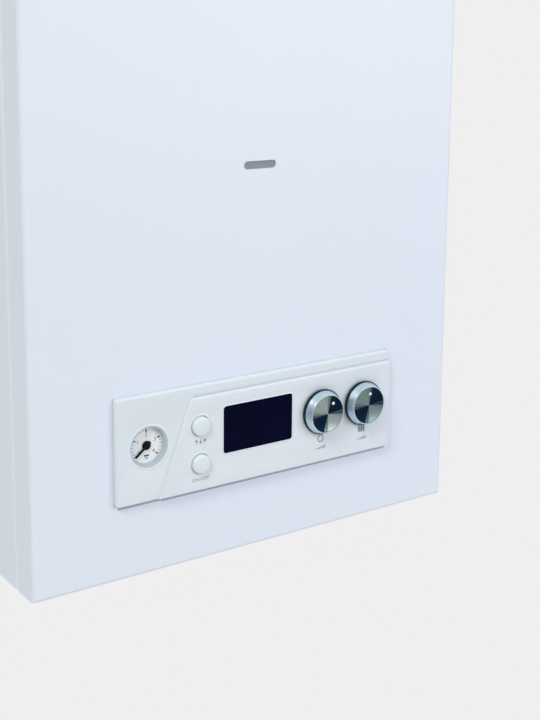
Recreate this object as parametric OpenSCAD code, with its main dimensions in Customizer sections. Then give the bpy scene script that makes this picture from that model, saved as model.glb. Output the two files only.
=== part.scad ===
// Wall-hung gas boiler with a removable front cover and a hinged control box.
// Frame: +Z is up, the front faces -Y, and the origin is midway between the two
// wall bolts of the hanging bracket, on the wall's own plane.

/* [Casing] */
// Width of the casing
body_w = 400; // [390:5:440]
// Height of the casing
body_h = 700; // [680:5:780]
// Depth from the wall to the face of the front cover
body_d = 300; // [295:5:330]
// Thickness of the painted steel sheet
sheet_t = 1.2; // [1:0.1:1.4]
// Depth of the front cover's side returns
cover_depth = 27; // [25:1:30]
// Width of the flange turned in along the cover's rear edge
cover_flange = 12; // [9:1:13]
// Outer radius of the cover's front edges
cover_edge_r = 3; // [2:0.5:4]
// Outer radius of the bend at the front of each side panel
side_bend_r = 6; // [4:0.5:8]
// Gap between the cover and the casing behind it
seam_gap = 0.4; // [0.2:0.1:0.8]
// Space between the wall and the back plate
wall_gap = 12; // [11:1:16]

/* [Wall bracket] */
// Distance between the two wall bolts
bolt_spacing = 250; // [230:5:260]
// Diameter of the wall bolt holes
bolt_hole_d = 10.5; // [8.5:0.5:12]
// Height of the casing's top above the wall bolts
hang_drop = 45; // [42:1:60]
// Thickness of the bracket's steel
bracket_t = 2.5; // [2:0.5:3]
// Height of the bracket's plate
bracket_h = 44; // [40:1:48]
// Width of each hook
hook_w = 40; // [30:1:50]
// Distance between the two hooks' centres
hook_spacing = 160; // [140:5:170]
// Height of the turned-up end of each hook
hook_rise = 12; // [8:1:14]

/* [Front cover openings] */
// Length of the flame viewing slot
slot_l = 30.4; // [24:0.2:40]
// Height of the flame viewing slot
slot_h = 6.4; // [5:0.2:8]
// Height of the slot above the casing's bottom
slot_up = 314.4; // [305:0.2:325]
// Gap round the control panel in the cover's window
window_gap = 0.5; // [0.4:0.1:1]

/* [Control panel] */
// Width of the panel that stands through the cover
fascia_w = 264; // [260:1:270]
// Height of the panel that stands through the cover
fascia_h = 85; // [83:1:90]
// Height of the panel's lower edge above the casing's bottom
fascia_up = 61.2; // [58:0.2:63]
// How far the panel stands in front of the cover
fascia_proud = 5; // [4:0.5:6]
// Wall thickness of the moulded panel and tray
mould_t = 2.5; // [2:0.1:3]
// How far the raised plate stands in front of the panel
plate_step = 2; // [1.6:0.2:2.4]
// Height of the raised plate
plate_h = 76; // [74:1:79]
// Panel centre to the raised plate's slanted edge, along its top
plate_top_x = 67.6; // [66:0.2:70]
// Panel centre to the raised plate's slanted edge, along its bottom
plate_bottom_x = 96; // [92:0.5:100]
// Depth of the tray behind the panel
tray_depth = 47; // [44:1:50]
// Diameter of the hinge pins that the control box turns on
hinge_pin_d = 8; // [6:0.5:9]

/* [Display] */
// Width of the display window
display_w = 66.2; // [60:0.2:68]
// Height of the display window
display_h = 38.6; // [34:0.2:42]
// Panel centre to the display's centre
display_x = -5; // [-6:0.5:-4]
// Height of the display's centre above the panel's lower edge
display_up = 45.3; // [43:0.1:46]
// Corner radius of the display window
display_r = 2; // [1:0.5:3]
// Thickness of the display window
display_t = 1.8; // [1.4:0.1:2]

/* [Knobs] */
// Diameter of a knob's base
knob_base_d = 38.3; // [34:0.1:40]
// Diameter of a knob's brushed face
knob_face_d = 31.4; // [28:0.1:32]
// Height of a knob above the panel
knob_h = 10; // [9:0.5:14]
// Panel centre to the left knob's centre
knob_x = 57.7; // [56:0.1:60]
// Distance between the knobs' centres
knob_pitch = 43.4; // [43:0.1:46]
// Height of the knobs' centres above the panel's lower edge
knob_up = 44.2; // [40:0.1:46]
// Diameter of a knob's shaft
knob_shaft_d = 6; // [5:0.5:7]

/* [Buttons] */
// Diameter of a push button
button_d = 15.8; // [13:0.1:17]
// Panel centre to the buttons' centres
button_x = -59.5; // [-60:0.5:-58]
// Height of the lower button above the panel's lower edge
button_up = 22; // [20:0.5:24]
// Distance between the buttons' centres
button_pitch = 30.8; // [28:0.1:34]
// How far a button stands in front of the raised plate
button_proud = 3.2; // [2.6:0.1:4]
// Travel of a push button
button_travel = 1.2; // [0.8:0.1:1.4]

/* [Pressure gauge] */
// Diameter of the gauge's opening in the panel
gauge_d = 32.8; // [30:0.1:34]
// Panel centre to the gauge's centre
gauge_x = -104; // [-106:0.5:-102]
// Height of the gauge's centre above the panel's lower edge
gauge_up = 43.7; // [40:0.1:46]
// Diameter of the gauge's dial
dial_d = 28; // [25:0.5:29]
// Length of the needle from its axis
needle_l = 12.9; // [10:0.1:13]

/* [Bottom connections] */
// Distance between neighbouring pipe connections
pipe_pitch = 65; // [62:1:66]
// Distance from the wall to the row of pipes
pipe_wall = 125; // [122:1:128]
// Length of pipe below the casing
stub_drop = 30; // [26:1:40]
// Length of thread on each connection
thread_l = 14; // [12:1:16]
// Diameter over the heating and gas threads
thread_large_d = 26.44; // [25:0.02:28]
// Diameter over the hot and cold water threads
thread_small_d = 20.96; // [20:0.02:22]
// Outside diameter of the heating and gas pipes
pipe_large_d = 22; // [20:0.5:23]
// Outside diameter of the hot and cold water pipes
pipe_small_d = 17; // [15:0.5:18]
// Wall thickness of the pipes
pipe_wall_t = 2; // [1.5:0.1:2.5]
// Bore of the mains cable gland
gland_bore_d = 8.4; // [7:0.1:10]

/* [Flue] */
// Inner diameter of the flue gas spigot
flue_d = 60; // [58:1:62]
// Height of the flue gas spigot above the casing
flue_rise = 25; // [20:1:30]
// Outer diameter of the fresh air collar
air_d = 100; // [96:1:104]
// Height of the fresh air collar above the casing
air_rise = 40; // [35:1:50]
// Distance from the wall to the flue's axis
flue_wall = 180; // [176:1:184]

/* [Combustion] */
// Height of the water section below the sealed chamber
water_h = 245; // [240:1:255]
// Distance from the wall to the sealed chamber's back
chamber_wall = 80; // [78:1:84]
// Number of burner bars
bar_count = 13; // [11:1:14]
// Distance between neighbouring burner bars
bar_pitch = 18; // [17:0.5:18.5]
// Diameter of the fan's scroll
scroll_d = 124; // [118:1:126]
// Diameter of the fan wheel
wheel_d = 108; // [100:1:112]
// Number of blades on the fan wheel
blade_count = 24; // [16:1:28]
// Diameter of the expansion vessel
vessel_d = 316; // [300:2:320]
// Thickness of the expansion vessel
vessel_t = 60; // [56:1:62]

/* [Water parts] */
// Diameter of the pump's volute
volute_d = 96; // [90:1:98]
// Length of the pump's motor
pump_motor_l = 75; // [70:1:78]
// Diameter of the pump's impeller
impeller_d = 72; // [66:1:76]
// Diameter of the brass manifold blocks
block_d = 34; // [32:1:36]
// Outside diameter of the copper risers
riser_d = 18; // [16:0.5:19]
// Number of plates in the hot water heat exchanger
plate_count = 12; // [8:1:14]
// Travel of the diverter valve's stem
stem_travel = 8; // [6:0.5:9]

/* [Hidden] */
$fn = 64;

// Small clearances
run_gap = 0.06;
seat_gap = 0.2;
slip_gap = 0.4;
cut = 1;

// Planes of the casing
z_top = hang_drop;
z_bot = z_top - body_h;
y_front = -body_d;
y_cover_rear = y_front + cover_depth;
y_side_front = y_cover_rear + seam_gap;
x_side = body_w / 2;
x_side_in = x_side - sheet_t;
y_back = -wall_gap;
y_back_in = y_back - sheet_t;

// Front leg of the side, top and bottom sheets
leg = side_bend_r + 12;

// Control box
z_fascia = z_bot + fascia_up;
y_fascia = y_front - fascia_proud;
y_plate = y_fascia - plate_step;
flange_gap = 2;
y_flange = y_front + sheet_t + flange_gap;
y_flange_in = y_flange + mould_t;
y_tray_rear = y_flange_in + tray_depth;
tray_side = 28;
tray_w = body_w - 2 * tray_side;
tray_low = 20;
tray_h = 130;
z_tray = z_bot + tray_low;
z_hinge = z_tray + 10;
y_hinge = y_flange + 7;
hinge_pin_l = 8;
ear_t = 2.5;
ear_r = 9;
board_t = 1.6;
board_in = 9;
y_board = y_flange_in + board_in;
z_panel = z_fascia + knob_up;

// Control panel pieces
fascia_edge_r = 1.2;
knob_gap = 0.8;
knob_base_h = 3;
button_flange = 1.6;
dial_depth = 5;
needle_zero = 220;

// Sealed chamber
z_ch_low = z_bot + water_h;
z_ch_top = z_top - 8;
chamber_w = body_w - 28;
y_ch_back = -chamber_wall;
y_ch_front = y_front + 36.8;
ch_t = 1.2;
emboss = 6;
emboss_inset = 22;
screw_inset = 9;
screw_head_r = 4.5;
screw_head_h = 3;

// Heat engine inside the chamber
engine_room = 60;
engine_w = body_w - 2 * engine_room;
engine_d = 126;
y_engine = -chamber_wall - 92;
z_bars = z_ch_low + 20;
bar_h = 42;
z_firebox = z_bars + bar_h + 4;
firebox_h = 80;
z_exchanger = z_firebox + firebox_h;
exchanger_h = 54;
header_t = 12;
z_hood = z_exchanger + exchanger_h;
hood_h = 35;
fan_w = 56;
y_fan_front = -flue_wall - fan_w / 2;
y_fan_back = -flue_wall + fan_w / 2;
scroll_r = scroll_d / 2;
x_fan = scroll_r - flue_d / 2;
z_outlet = z_ch_top - 7;
z_fan = z_outlet - 30 - scroll_r;
fan_motor_l = 40;
fan_shaft_d = 6;

// Water section
y_pipe = -pipe_wall;
riser_r = riser_d / 2;
x_riser = x_side - 26;
elbow_r = 14;
x_block_end = x_riser - elbow_r - 8;
block_r = block_d / 2;
z_block = z_bot + 62;
z_socket = z_bot + 36;
volute_r = volute_d / 2;
volute_t = 44;
x_pump = x_riser - elbow_r - volute_r;
z_pump = z_block + 22 + volute_r;
y_pump_front = y_pipe - volute_t / 2;
y_pump_back = y_pipe + volute_t / 2;
exchanger_plate_w = 190;
exchanger_plate_h = 73;
exchanger_plate_t = 3;
y_plates = y_pipe + block_r + 10;
port_x = 80;
x_tap = pipe_pitch * 1.5;
z_tap_low = z_bot - 26;
tap_pin_r = 4;
gas_valve_up = 120;
z_gas_valve = z_bot + gas_valve_up;
gas_valve_h = 60;
diverter_w = 40;
diverter_h = 50;
diverter_room = 15;
x_diverter = -(x_riser - riser_r - diverter_room - diverter_w / 2);
stem_r = 3;
seat_up = 38;
z_diverter = z_block + seat_up;
vessel_r = vessel_d / 2;
vessel_gap = 5;
z_vessel = -bracket_h / 2 - vessel_gap - vessel_r;
x_vessel_port = 112;
vessel_pipe_r = 5;
y_vessel = y_back_in - 0.3 - vessel_t / 2;
safety_y = y_pipe - block_r - 4;
x_gland = -32;
y_gland = -60;

// Wall bracket
bracket_w = bolt_spacing + 50;
hook_reach = wall_gap + sheet_t + 1 + bracket_t;
z_hook = -4;
hook_slot_h = hook_rise + bracket_t + 1.5;
foot_x = body_w / 2 - 50;
foot_r = 15;
z_foot = z_bot + 40;

// Casing details
z_mid = (z_top + z_bot) / 2;
z_slot = z_bot + slot_up;
pane_t = 1.5;
vent_pitch = 44;
vent_l = 30;
vent_h = 5;
y_vent = -220;
gland_r = 10;
x_ear = tray_w / 2 + 4;
y_ear_foot = -262;
ear_foot_l = 12;
function pipe_r(i) = (abs(i) == 1 ? pipe_small_d : pipe_large_d) / 2;

// Chamber details
y_ch_flange = y_ch_front + ch_t;
screw_r = 2;
screw_end = 4;
screw_up = z_ch_top - z_ch_low - 2 * screw_inset;
screw_across = chamber_w - 2 * screw_inset;
screw_spots = concat(
  [for (s = [-1, 1], i = [0:5]) [s * screw_across / 2, z_ch_low + screw_inset + i * screw_up / 5]],
  [for (k = [0, 1], i = [1:3]) [(i / 4 - 0.5) * screw_across, z_ch_low + screw_inset + k * screw_up]]);
view_r = 12;

// Engine details
y_engine_front = y_engine - engine_d / 2;
y_engine_back = y_engine + engine_d / 2;
bar_w = 10;
y_bar_front = y_engine_front + 8;
y_bar_back = y_engine_back - 8;
rail_t = 2;
rail_h = 16;
rail_inset = 14;
venturi_up = 14;
gas_tube_r = 6;
injector_r = 3;
y_manifold = y_bar_front - 16;
manifold_l = bar_count * bar_pitch + 6;
z_feed = z_ch_low + 10;
board_lining = 12;
fin_count = 28;
fin_pitch = (engine_w - 2) / (fin_count - 1);
fin_t = 2;
z_water = z_exchanger + exchanger_h / 2;
water_tube_pitch = 22;
water_tube_w = 10;
water_tube_h = 24;
neck_w = 90;
hood_top_w = 170;
inlet_r = 30;
outlet_flange = 78;
outlet_r = 26;
flange_t = 2;
flue_t = 1.2;
collar_t = 2;
collar_hole_r = 2.5;
air_t = 1.5;

// Fan details
y_wheel_disc = y_fan_front + 8;
y_wheel_ring = y_fan_back - 6;
wheel_t = 1.5;
wheel_hub_r = 9;
wheel_hub_l = 16;
blade_root_r = wheel_d / 2 - 10;
blade_l = 9.6;
blade_t = 1;
blade_tilt = 32;
fan_motor_r = 34;
y_shaft_end = y_fan_front - 24;

// Pressure switch and its tubes
x_switch = -chamber_w / 2 + 70;
z_switch = z_ch_top - 90;
switch_r = 30;
switch_t = 20;
port_gap = 10;
port_r = 2.5;
y_port = y_ch_back - ch_t - 10;
tube_r = 4;
z_tube_low = z_switch + switch_r + 4;
z_tube_top = z_tube_low + 18;
tube_bend = 12;
tube_run = 24;
vessel_edge = 8;
z_vessel_port = z_vessel - sqrt(pow(vessel_r, 2) - pow(x_vessel_port, 2)) - 10;

// Water section details
boss_r = 11;
y_boss = y_pipe + block_r + 3;
x_block_in = 40;
z_stub = z_bot - stub_drop;
z_pipe_top = z_socket + 4;
nut_h = 14;
motor_r = 40;
rotor_shaft_r = 4;
neck_r = riser_r + 3;
vent_r = 10;
vent_tall = 42;
x_vent = x_pump - volute_r + 16;
z_vent = z_pump + 30;
safety_x = x_block_in + 28;
safety_l = 46;
safety_knob_l = 20;
safety_pin_r = 3;
seat_r = 9;
tap_knob_r = 11;
tap_knob_h = 16;
tap_pin_in = 6;
z_plates = z_block - 16;
z_port_up = z_plates + exchanger_plate_h - 16;
gas_valve_w = 44;
gas_valve_d = 54;
y_valve_front = y_pipe - 30;
outlet_l = 18;
outlet_boss_r = 12;
solenoid_r = 8;
solenoid_l = 28;
solenoid_up = 12;
solenoid_pitch = 18;

// Control box details
fascia_half = fascia_w / 2;
tray_half = tray_w / 2;
harness_in = 6.5;
harness_w = 36;
harness_h = 22;
y_panel_in = y_fascia + mould_t;
y_button_in = y_panel_in + 0.3;
button_stem_r = 2.5;
switch_h = 4;
switch_w = 6;
screen_w = 56;
screen_h = 28;
screen_d = 8;
y_switch = y_board - switch_h;
button_gap = 0.3;
encoder_w = 12;
encoder_l = 7;
shaft_in = 5;
y_encoder = y_board - encoder_l;
gauge_r = gauge_d / 2;
gauge_can_l = 18;
rim_w = 0.8;
rim_in = 0.4;
spindle_r = 1;
hub_r = 3.6;
needle_w = 1.6;
needle_tip_w = 0.5;
needle_tail = 4;
needle_t = 0.8;
hub_t = 1.6;
hub_rim = 0.3;
spindle_in = 2.5;
spindle_seat = 3;
lens_t = 1.2;
board_low = 14;
board_room = 13.5;
board_gauge_gap = 3.6;
board_left = gauge_x + gauge_r + board_gauge_gap;
board_right = tray_half - mould_t - board_room;
x_board = (board_left + board_right) / 2;
board_w = board_right - board_left;
board_h = 96;
board_post_in = 8;
board_post_x = board_w / 2 - board_post_in;
post_up = 6;
post_r = 4;
post_hole_r = 1.5;
coil_in = 16;
coil_w = 44;
coil_d = 26;
coil_h = 38;
coil_up = 12;
relay_in = 60;
relay_pitch = 24;
relay_w = 16;
relay_d = 16;
relay_h = 26;
plug_in = 40;
plug_pitch = 34;
plug_w = 24;
plug_d = 11;
plug_h = 10;
plug_low = 24;
z_board = z_tray + board_low;
panel_cut = fascia_proud + plate_step + 2 * cut;
z_button_low = z_fascia + button_up;
z_button_high = z_button_low + button_pitch;
z_gauge = z_fascia + gauge_up;
z_display = z_fascia + display_up;
y_button = y_plate - button_proud;
button_dome = 0.9;
crown_r = (pow(button_d / 2 - 0.4, 2) + pow(button_dome, 2)) / (2 * button_dome) + 0.4;
knob_tall = knob_h - knob_gap;
y_knob = y_plate - knob_gap;
knob_base_r = knob_base_d / 2;
knob_face_r = knob_face_d / 2;
knob_waist_r = (knob_base_r + knob_face_r) / 2;
face_t = 1.2;
dimple_r = 1.4;
dimple_right = 1.2;
dimple_up = 9.8;
dimple_in = 0.4;
gauge_gap = 0.15;
needle_lift = 0.6;
lens_in = 1.9;
lens_r = dial_d / 2 + 0.6;
stem_head = stem_travel + 6;
z_stem_low = z_block - 4;
z_stem_high = z_diverter + 14;
z_stem_seal = z_diverter - stem_head - 1;

// Common shapes

// Turns a flat outline in X and Z into a solid that runs towards the front from y
module to_front(y, l) {
  translate([0, y, 0]) rotate([90, 0, 0]) linear_extrude(l) children();
}

// Turns a flat outline in Y and Z into a solid centred on x = 0
module across(l) {
  translate([-l / 2, 0, 0]) rotate([90, 0, 90]) linear_extrude(l) children();
}

// A round bar that runs towards the front from y
module front_bar(x, y, z, r, l) {
  translate([x, y, z]) rotate([90, 0, 0]) cylinder(r = r, h = l);
}

// A round bar that runs towards +X from x
module side_bar(x, y, z, r, l) {
  translate([x, y, z]) rotate([0, 90, 0]) cylinder(r = r, h = l);
}

// A round bar that stands on z
module post(x, y, z, r, l) {
  translate([x, y, z]) cylinder(r = r, h = l);
}

// Rectangle with round corners, centred
module round_rect(w, h, r) {
  square([w - 2 * r, h], center = true);
  square([w, h - 2 * r], center = true);
  for (sx = [-1, 1], sy = [-1, 1])
    translate([sx * (w / 2 - r), sy * (h / 2 - r)]) circle(r);
}

// Slot outline, centred, with round ends
module stadium(l, h) {
  square([l - h, h], center = true);
  for (s = [-1, 1]) translate([s * (l - h) / 2, 0]) circle(d = h);
}

// Box given by its low corner and its high corner
module slab(low, high) {
  translate(low) cube(high - low);
}

// Quarter bend of a round pipe in the XZ plane, from pointing down to pointing along +X
module elbow(r, bend_r) {
  translate([bend_r, 0, 0]) rotate([90, 0, 0]) rotate([0, 0, 90])
    rotate_extrude(angle = 90) translate([bend_r, 0]) circle(r);
}

// Solid pan that is flat at the back and has round front edges, its front at y = 0
module pan(w, h, d, r) {
  intersection() {
    linear_extrude(h, center = true) pan_outline(w, d, r);
    across(w) pan_side(h, d, r);
  }
}

// Outline of a pan from above, with its front at y = 0 and its back at y = d
module pan_outline(w, d, r) {
  translate([-w / 2, r]) square([w, d - r]);
  translate([-w / 2 + r, 0]) square([w - 2 * r, d]);
  for (s = [-1, 1]) translate([s * (w / 2 - r), r]) circle(r);
}

// Outline of a pan from the side, depth along the first axis and height along the second
module pan_side(h, d, r) {
  translate([r, -h / 2]) square([d - r, h]);
  translate([0, -h / 2 + r]) square([d, h - 2 * r]);
  for (s = [-1, 1]) translate([r, s * (h / 2 - r)]) circle(r);
}

// Casing

// Bracket that is bolted to the wall, with two hooks that the back plate hangs on
module wall_bracket() {
  color("lightgray") {
    difference() {
      slab([-bracket_w / 2, -bracket_t, -bracket_h / 2], [bracket_w / 2, 0, bracket_h / 2]);
      for (s = [-1, 1])
        front_bar(s * bolt_spacing / 2, cut, 0, bolt_hole_d / 2, bracket_t + 2 * cut);
    }
    for (s = [-1, 1]) translate([s * hook_spacing / 2, 0, 0]) hook();
  }
}

module hook() {
  slab([-hook_w / 2, -hook_reach, z_hook - bracket_t], [hook_w / 2, 0, z_hook]);
  slab([-hook_w / 2, -hook_reach, z_hook - bracket_t],
       [hook_w / 2, -hook_reach + bracket_t, z_hook + hook_rise]);
}

// Rear sheet, with a slot for each hook and two pressed feet that keep it off the wall
module back_plate() {
  color("silver") difference() {
    union() {
      slab([-x_side_in, y_back_in, z_bot + sheet_t], [x_side_in, y_back, z_top - sheet_t]);
      for (s = [-1, 1]) front_bar(s * foot_x, 0, z_foot, foot_r, wall_gap + sheet_t);
    }
    for (s = [-1, 1]) translate([s * hook_spacing / 2, 0, 0])
      slab([-hook_w / 2 - slip_gap, y_back_in - cut, z_hook - hook_slot_h],
           [hook_w / 2 + slip_gap, y_back + cut, z_hook]);
    for (s = [-1, 1])
      front_bar(s * foot_x, -sheet_t, z_foot, foot_r - sheet_t, wall_gap + cut);
  }
}

// Section of the right side panel from above, with its round bend and its front leg
module side_outline() {
  translate([x_side_in, y_side_front + side_bend_r])
    square([sheet_t, y_back - y_side_front - side_bend_r]);
  translate([x_side - leg, y_side_front]) square([leg - side_bend_r, sheet_t]);
  translate([x_side - side_bend_r, y_side_front + side_bend_r]) bend_arc();
}

// Quarter of a bent sheet, from pointing along -Y to pointing along +X
module bend_arc() {
  intersection() {
    difference() {
      circle(side_bend_r);
      circle(side_bend_r - sheet_t);
    }
    translate([0, -side_bend_r]) square(side_bend_r);
  }
}

module side_panel() {
  color("white") translate([0, 0, z_bot]) linear_extrude(body_h) side_outline();
}

module right_side_panel() {
  side_panel();
}

module left_side_panel() {
  mirror([1, 0, 0]) side_panel();
}

// Level sheet with a bent front leg that points up, its underside on z = 0
module end_sheet() {
  slab([-x_side_in, y_side_front + side_bend_r, 0], [x_side_in, y_back, sheet_t]);
  across(2 * (x_side - leg - slip_gap)) {
    translate([y_side_front, side_bend_r]) square([sheet_t, leg - side_bend_r]);
    translate([y_side_front + side_bend_r, side_bend_r]) rotate(-90) bend_arc();
  }
}

module top_plate() {
  color("silver") difference() {
    translate([0, 0, z_top]) mirror([0, 0, 1]) end_sheet();
    post(0, -flue_wall, z_top - sheet_t - cut, air_d / 2 + seat_gap, sheet_t + 2 * cut);
  }
}

// Bottom sheet, with the pipe holes, a row of drain slots and the control box's hinge ears
module bottom_plate() {
  color("silver") {
    difference() {
      translate([0, 0, z_bot]) end_sheet();
      for (i = [-2:2]) plate_hole(i * pipe_pitch, y_pipe, pipe_r(i) + slip_gap);
      plate_hole(x_tap, y_pipe, tap_pin_r + slip_gap);
      plate_hole(x_gland, y_gland, gland_r);
      for (i = [-3:3]) translate([i * vent_pitch, y_vent, z_bot - cut])
        linear_extrude(sheet_t + 2 * cut) stadium(vent_l, vent_h);
    }
    for (s = [-1, 1]) translate([s * x_ear, 0, 0]) hinge_ear();
  }
}

module plate_hole(x, y, r) {
  post(x, y, z_bot - cut, r, sheet_t + 2 * cut);
}

// Upright plate that reaches forward over the cover's lower flange and holds a hinge pin
module hinge_ear() {
  difference() {
    across(ear_t) {
      translate([y_ear_foot, z_bot]) square([ear_foot_l, z_hinge + ear_r - z_bot]);
      translate([y_hinge, z_hinge - ear_r]) square([y_ear_foot - y_hinge + cut, 2 * ear_r]);
      translate([y_hinge, z_hinge]) circle(ear_r);
    }
    side_bar(-ear_t, y_hinge, z_hinge, hinge_pin_d / 2 + run_gap, 2 * ear_t);
  }
}

// Pressed steel front cover, with the control panel's window and the flame slot
module front_cover() {
  color("white") difference() {
    translate([0, y_front, z_mid]) pan(body_w, body_h, cover_depth, cover_edge_r);
    translate([0, y_front + sheet_t, z_mid])
      pan(body_w - 2 * sheet_t, body_h - 2 * sheet_t, cover_depth - 2 * sheet_t,
          cover_edge_r - sheet_t);
    slab([-x_side_in + cover_flange, y_cover_rear - sheet_t - cut,
          z_bot + sheet_t + cover_flange],
         [x_side_in - cover_flange, y_cover_rear + cut, z_top - sheet_t - cover_flange]);
    slab([-fascia_w / 2 - window_gap, y_front - cut, z_fascia - window_gap],
         [fascia_w / 2 + window_gap, y_front + sheet_t + cut,
          z_fascia + fascia_h + window_gap]);
    translate([0, 0, z_slot]) to_front(y_front + sheet_t + cut, sheet_t + 2 * cut)
      stadium(slot_l, slot_h);
  }
}

// Heatproof pane clipped behind the flame slot
module sight_window() {
  color("slategray") translate([0, 0, z_slot])
    to_front(y_front + sheet_t + pane_t, pane_t) stadium(slot_l + 10, slot_h + 8);
}

// Sealed combustion chamber

// Box of five spot-welded sheets, with a flange for the lid and strips that meet the casing
module chamber_box() {
  color("gainsboro") {
    slab([-chamber_w / 2, y_ch_back - ch_t, z_ch_low], [chamber_w / 2, y_ch_back, z_ch_top]);
    chamber_side();
    mirror([1, 0, 0]) chamber_side();
    difference() {
      chamber_end(z_ch_top - ch_t, z_ch_top - 2 * screw_inset);
      post(0, -flue_wall, z_ch_top - ch_t - cut, air_d / 2 - air_t, ch_t + 2 * cut);
    }
    difference() {
      chamber_end(z_ch_low, z_ch_low);
      for (s = [-1, 1])
        post(s * x_riser, y_pipe, z_ch_low - cut, riser_r + slip_gap, ch_t + 2 * cut);
      post(0, y_pipe, z_ch_low - cut, gas_tube_r + slip_gap, ch_t + 2 * cut);
    }
  }
}

// Right wall, with the upright strip that the lid is screwed to
module chamber_side() {
  difference() {
    union() {
      slab([chamber_w / 2 - ch_t, y_ch_flange, z_ch_low],
           [chamber_w / 2, y_ch_back - ch_t - seat_gap, z_ch_top]);
      slab([chamber_w / 2 - 2 * screw_inset, y_ch_flange, z_ch_low],
           [x_side_in, y_ch_flange + ch_t, z_ch_top]);
    }
    screw_holes();
  }
}

// Level wall whose underside is z_sheet, with the lid's lip whose lower edge is z_lip
module chamber_end(z_sheet, z_lip) {
  lip_w = chamber_w - 4 * screw_inset - 2 * seat_gap;
  sheet_w = chamber_w - 2 * ch_t - 2 * seat_gap;
  difference() {
    union() {
      slab([-sheet_w / 2, y_ch_flange + ch_t + seat_gap, z_sheet],
           [sheet_w / 2, y_ch_back - ch_t - seat_gap, z_sheet + ch_t]);
      slab([-lip_w / 2, y_ch_flange, z_sheet], [lip_w / 2, y_ch_flange + 2 * ch_t, z_sheet + ch_t]);
      slab([-lip_w / 2, y_ch_flange, z_lip],
           [lip_w / 2, y_ch_flange + ch_t, z_lip + 2 * screw_inset]);
    }
    screw_holes();
  }
}

module screw_holes() {
  for (p = screw_spots)
    front_bar(p[0], y_ch_flange + ch_t + cut, p[1], screw_r + seat_gap, ch_t + 2 * cut);
}

// Pressed lid of the chamber, with a raised panel and a round viewing hole
module chamber_cover() {
  color("gainsboro") difference() {
    union() {
      slab([-chamber_w / 2, y_ch_front, z_ch_low], [chamber_w / 2, y_ch_flange, z_ch_top]);
      raised_panel(emboss_inset, y_ch_front - emboss, y_ch_front);
    }
    raised_panel(emboss_inset + ch_t, y_ch_front - emboss + ch_t, y_ch_flange + cut);
    front_bar(0, y_ch_front, z_slot, view_r, emboss + cut);
    translate([0, -ch_t, 0]) screw_holes();
  }
}

// Block with round upright corners that covers the chamber's lid up to an inset
module raised_panel(inset, y_low, y_high) {
  translate([0, 0, (z_ch_low + z_ch_top) / 2]) to_front(y_high, y_high - y_low)
    round_rect(chamber_w - 2 * inset, z_ch_top - z_ch_low - 2 * inset, 8);
}

module chamber_screws() {
  color("dimgray") for (p = screw_spots) {
    front_bar(p[0], y_ch_front, p[1], screw_head_r, screw_head_h);
    front_bar(p[0], y_ch_flange + ch_t + screw_end, p[1], screw_r, 2 * ch_t + screw_end);
  }
}

// Glass disc in a steel ring over the chamber's viewing hole
module chamber_window() {
  color("lightslategray")
    front_bar(0, y_ch_front - emboss, z_slot, view_r + 4, pane_t);
}

// Row of burner bars on two rails, with end plates that carry the firebox
module burner() {
  color("silver") {
    for (i = [0:bar_count - 1])
      translate([(i - (bar_count - 1) / 2) * bar_pitch, 0, 0]) burner_bar();
    for (y = [y_bar_front + rail_inset, y_bar_back - rail_inset])
      slab([-engine_w / 2, y - rail_t / 2, z_bars + 4],
           [engine_w / 2, y + rail_t / 2, z_bars + 4 + rail_h]);
    for (s = [-1, 1]) translate([s * (engine_w - rail_t) / 2, 0, 0])
      slab([-rail_t / 2, y_bar_front + rail_inset, z_ch_low + ch_t],
           [rail_t / 2, y_bar_back - rail_inset, z_firebox]);
  }
}

module burner_bar() {
  difference() {
    to_front(y_bar_back, y_bar_back - y_bar_front) {
      translate([-bar_w / 2, z_bars]) square([bar_w, bar_h - bar_w / 2]);
      translate([0, z_bars + bar_h - bar_w / 2]) circle(bar_w / 2);
    }
    front_bar(0, y_bar_front + 30, z_bars + venturi_up, bar_w / 2 - 1, 30 + cut);
  }
}

// Gas tube with one injector in front of each bar, fed from the gas valve below
module gas_manifold() {
  color("goldenrod") {
    side_bar(-manifold_l / 2, y_manifold, z_bars + venturi_up, gas_tube_r, manifold_l);
    for (i = [0:bar_count - 1])
      front_bar((i - (bar_count - 1) / 2) * bar_pitch, y_bar_front - 2, z_bars + venturi_up,
                injector_r, y_bar_front - 2 - y_manifold);
    post(0, y_pipe, z_gas_valve + gas_valve_h, gas_tube_r, z_feed - z_gas_valve - gas_valve_h);
    front_bar(0, y_pipe, z_feed, gas_tube_r, y_pipe - y_manifold);
    post(0, y_manifold, z_feed, gas_tube_r, z_bars + venturi_up - z_feed);
    for (y = [y_pipe, y_manifold]) translate([0, y, z_feed]) sphere(gas_tube_r);
  }
}

// Four-walled firebox lined with ceramic board
module firebox() {
  color("wheat") difference() {
    slab([-engine_w / 2, y_engine_front, z_firebox], [engine_w / 2, y_engine_back, z_exchanger]);
    slab([-engine_w / 2 + board_lining, y_engine_front + board_lining, z_firebox - cut],
         [engine_w / 2 - board_lining, y_engine_back - board_lining, z_exchanger + cut]);
  }
}

// Copper fin block with flat water tubes through it and a header at each side
module heat_exchanger() {
  color("peru") {
    for (i = [0:fin_count - 1])
      translate([(i - (fin_count - 1) / 2) * fin_pitch, 0, 0])
        slab([-fin_t / 2, y_engine_front, z_exchanger],
             [fin_t / 2, y_engine_back, z_exchanger + exchanger_h]);
    for (i = [-2:2]) translate([0, y_engine + i * water_tube_pitch, z_water])
      across(engine_w + 2) rotate(90) stadium(water_tube_h, water_tube_w);
    for (s = [-1, 1]) translate([s * (engine_w + header_t) / 2, 0, 0])
      slab([-header_t / 2, y_engine_front, z_exchanger + 6],
           [header_t / 2, y_engine_back, z_exchanger + exchanger_h - 6]);
  }
}

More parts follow.
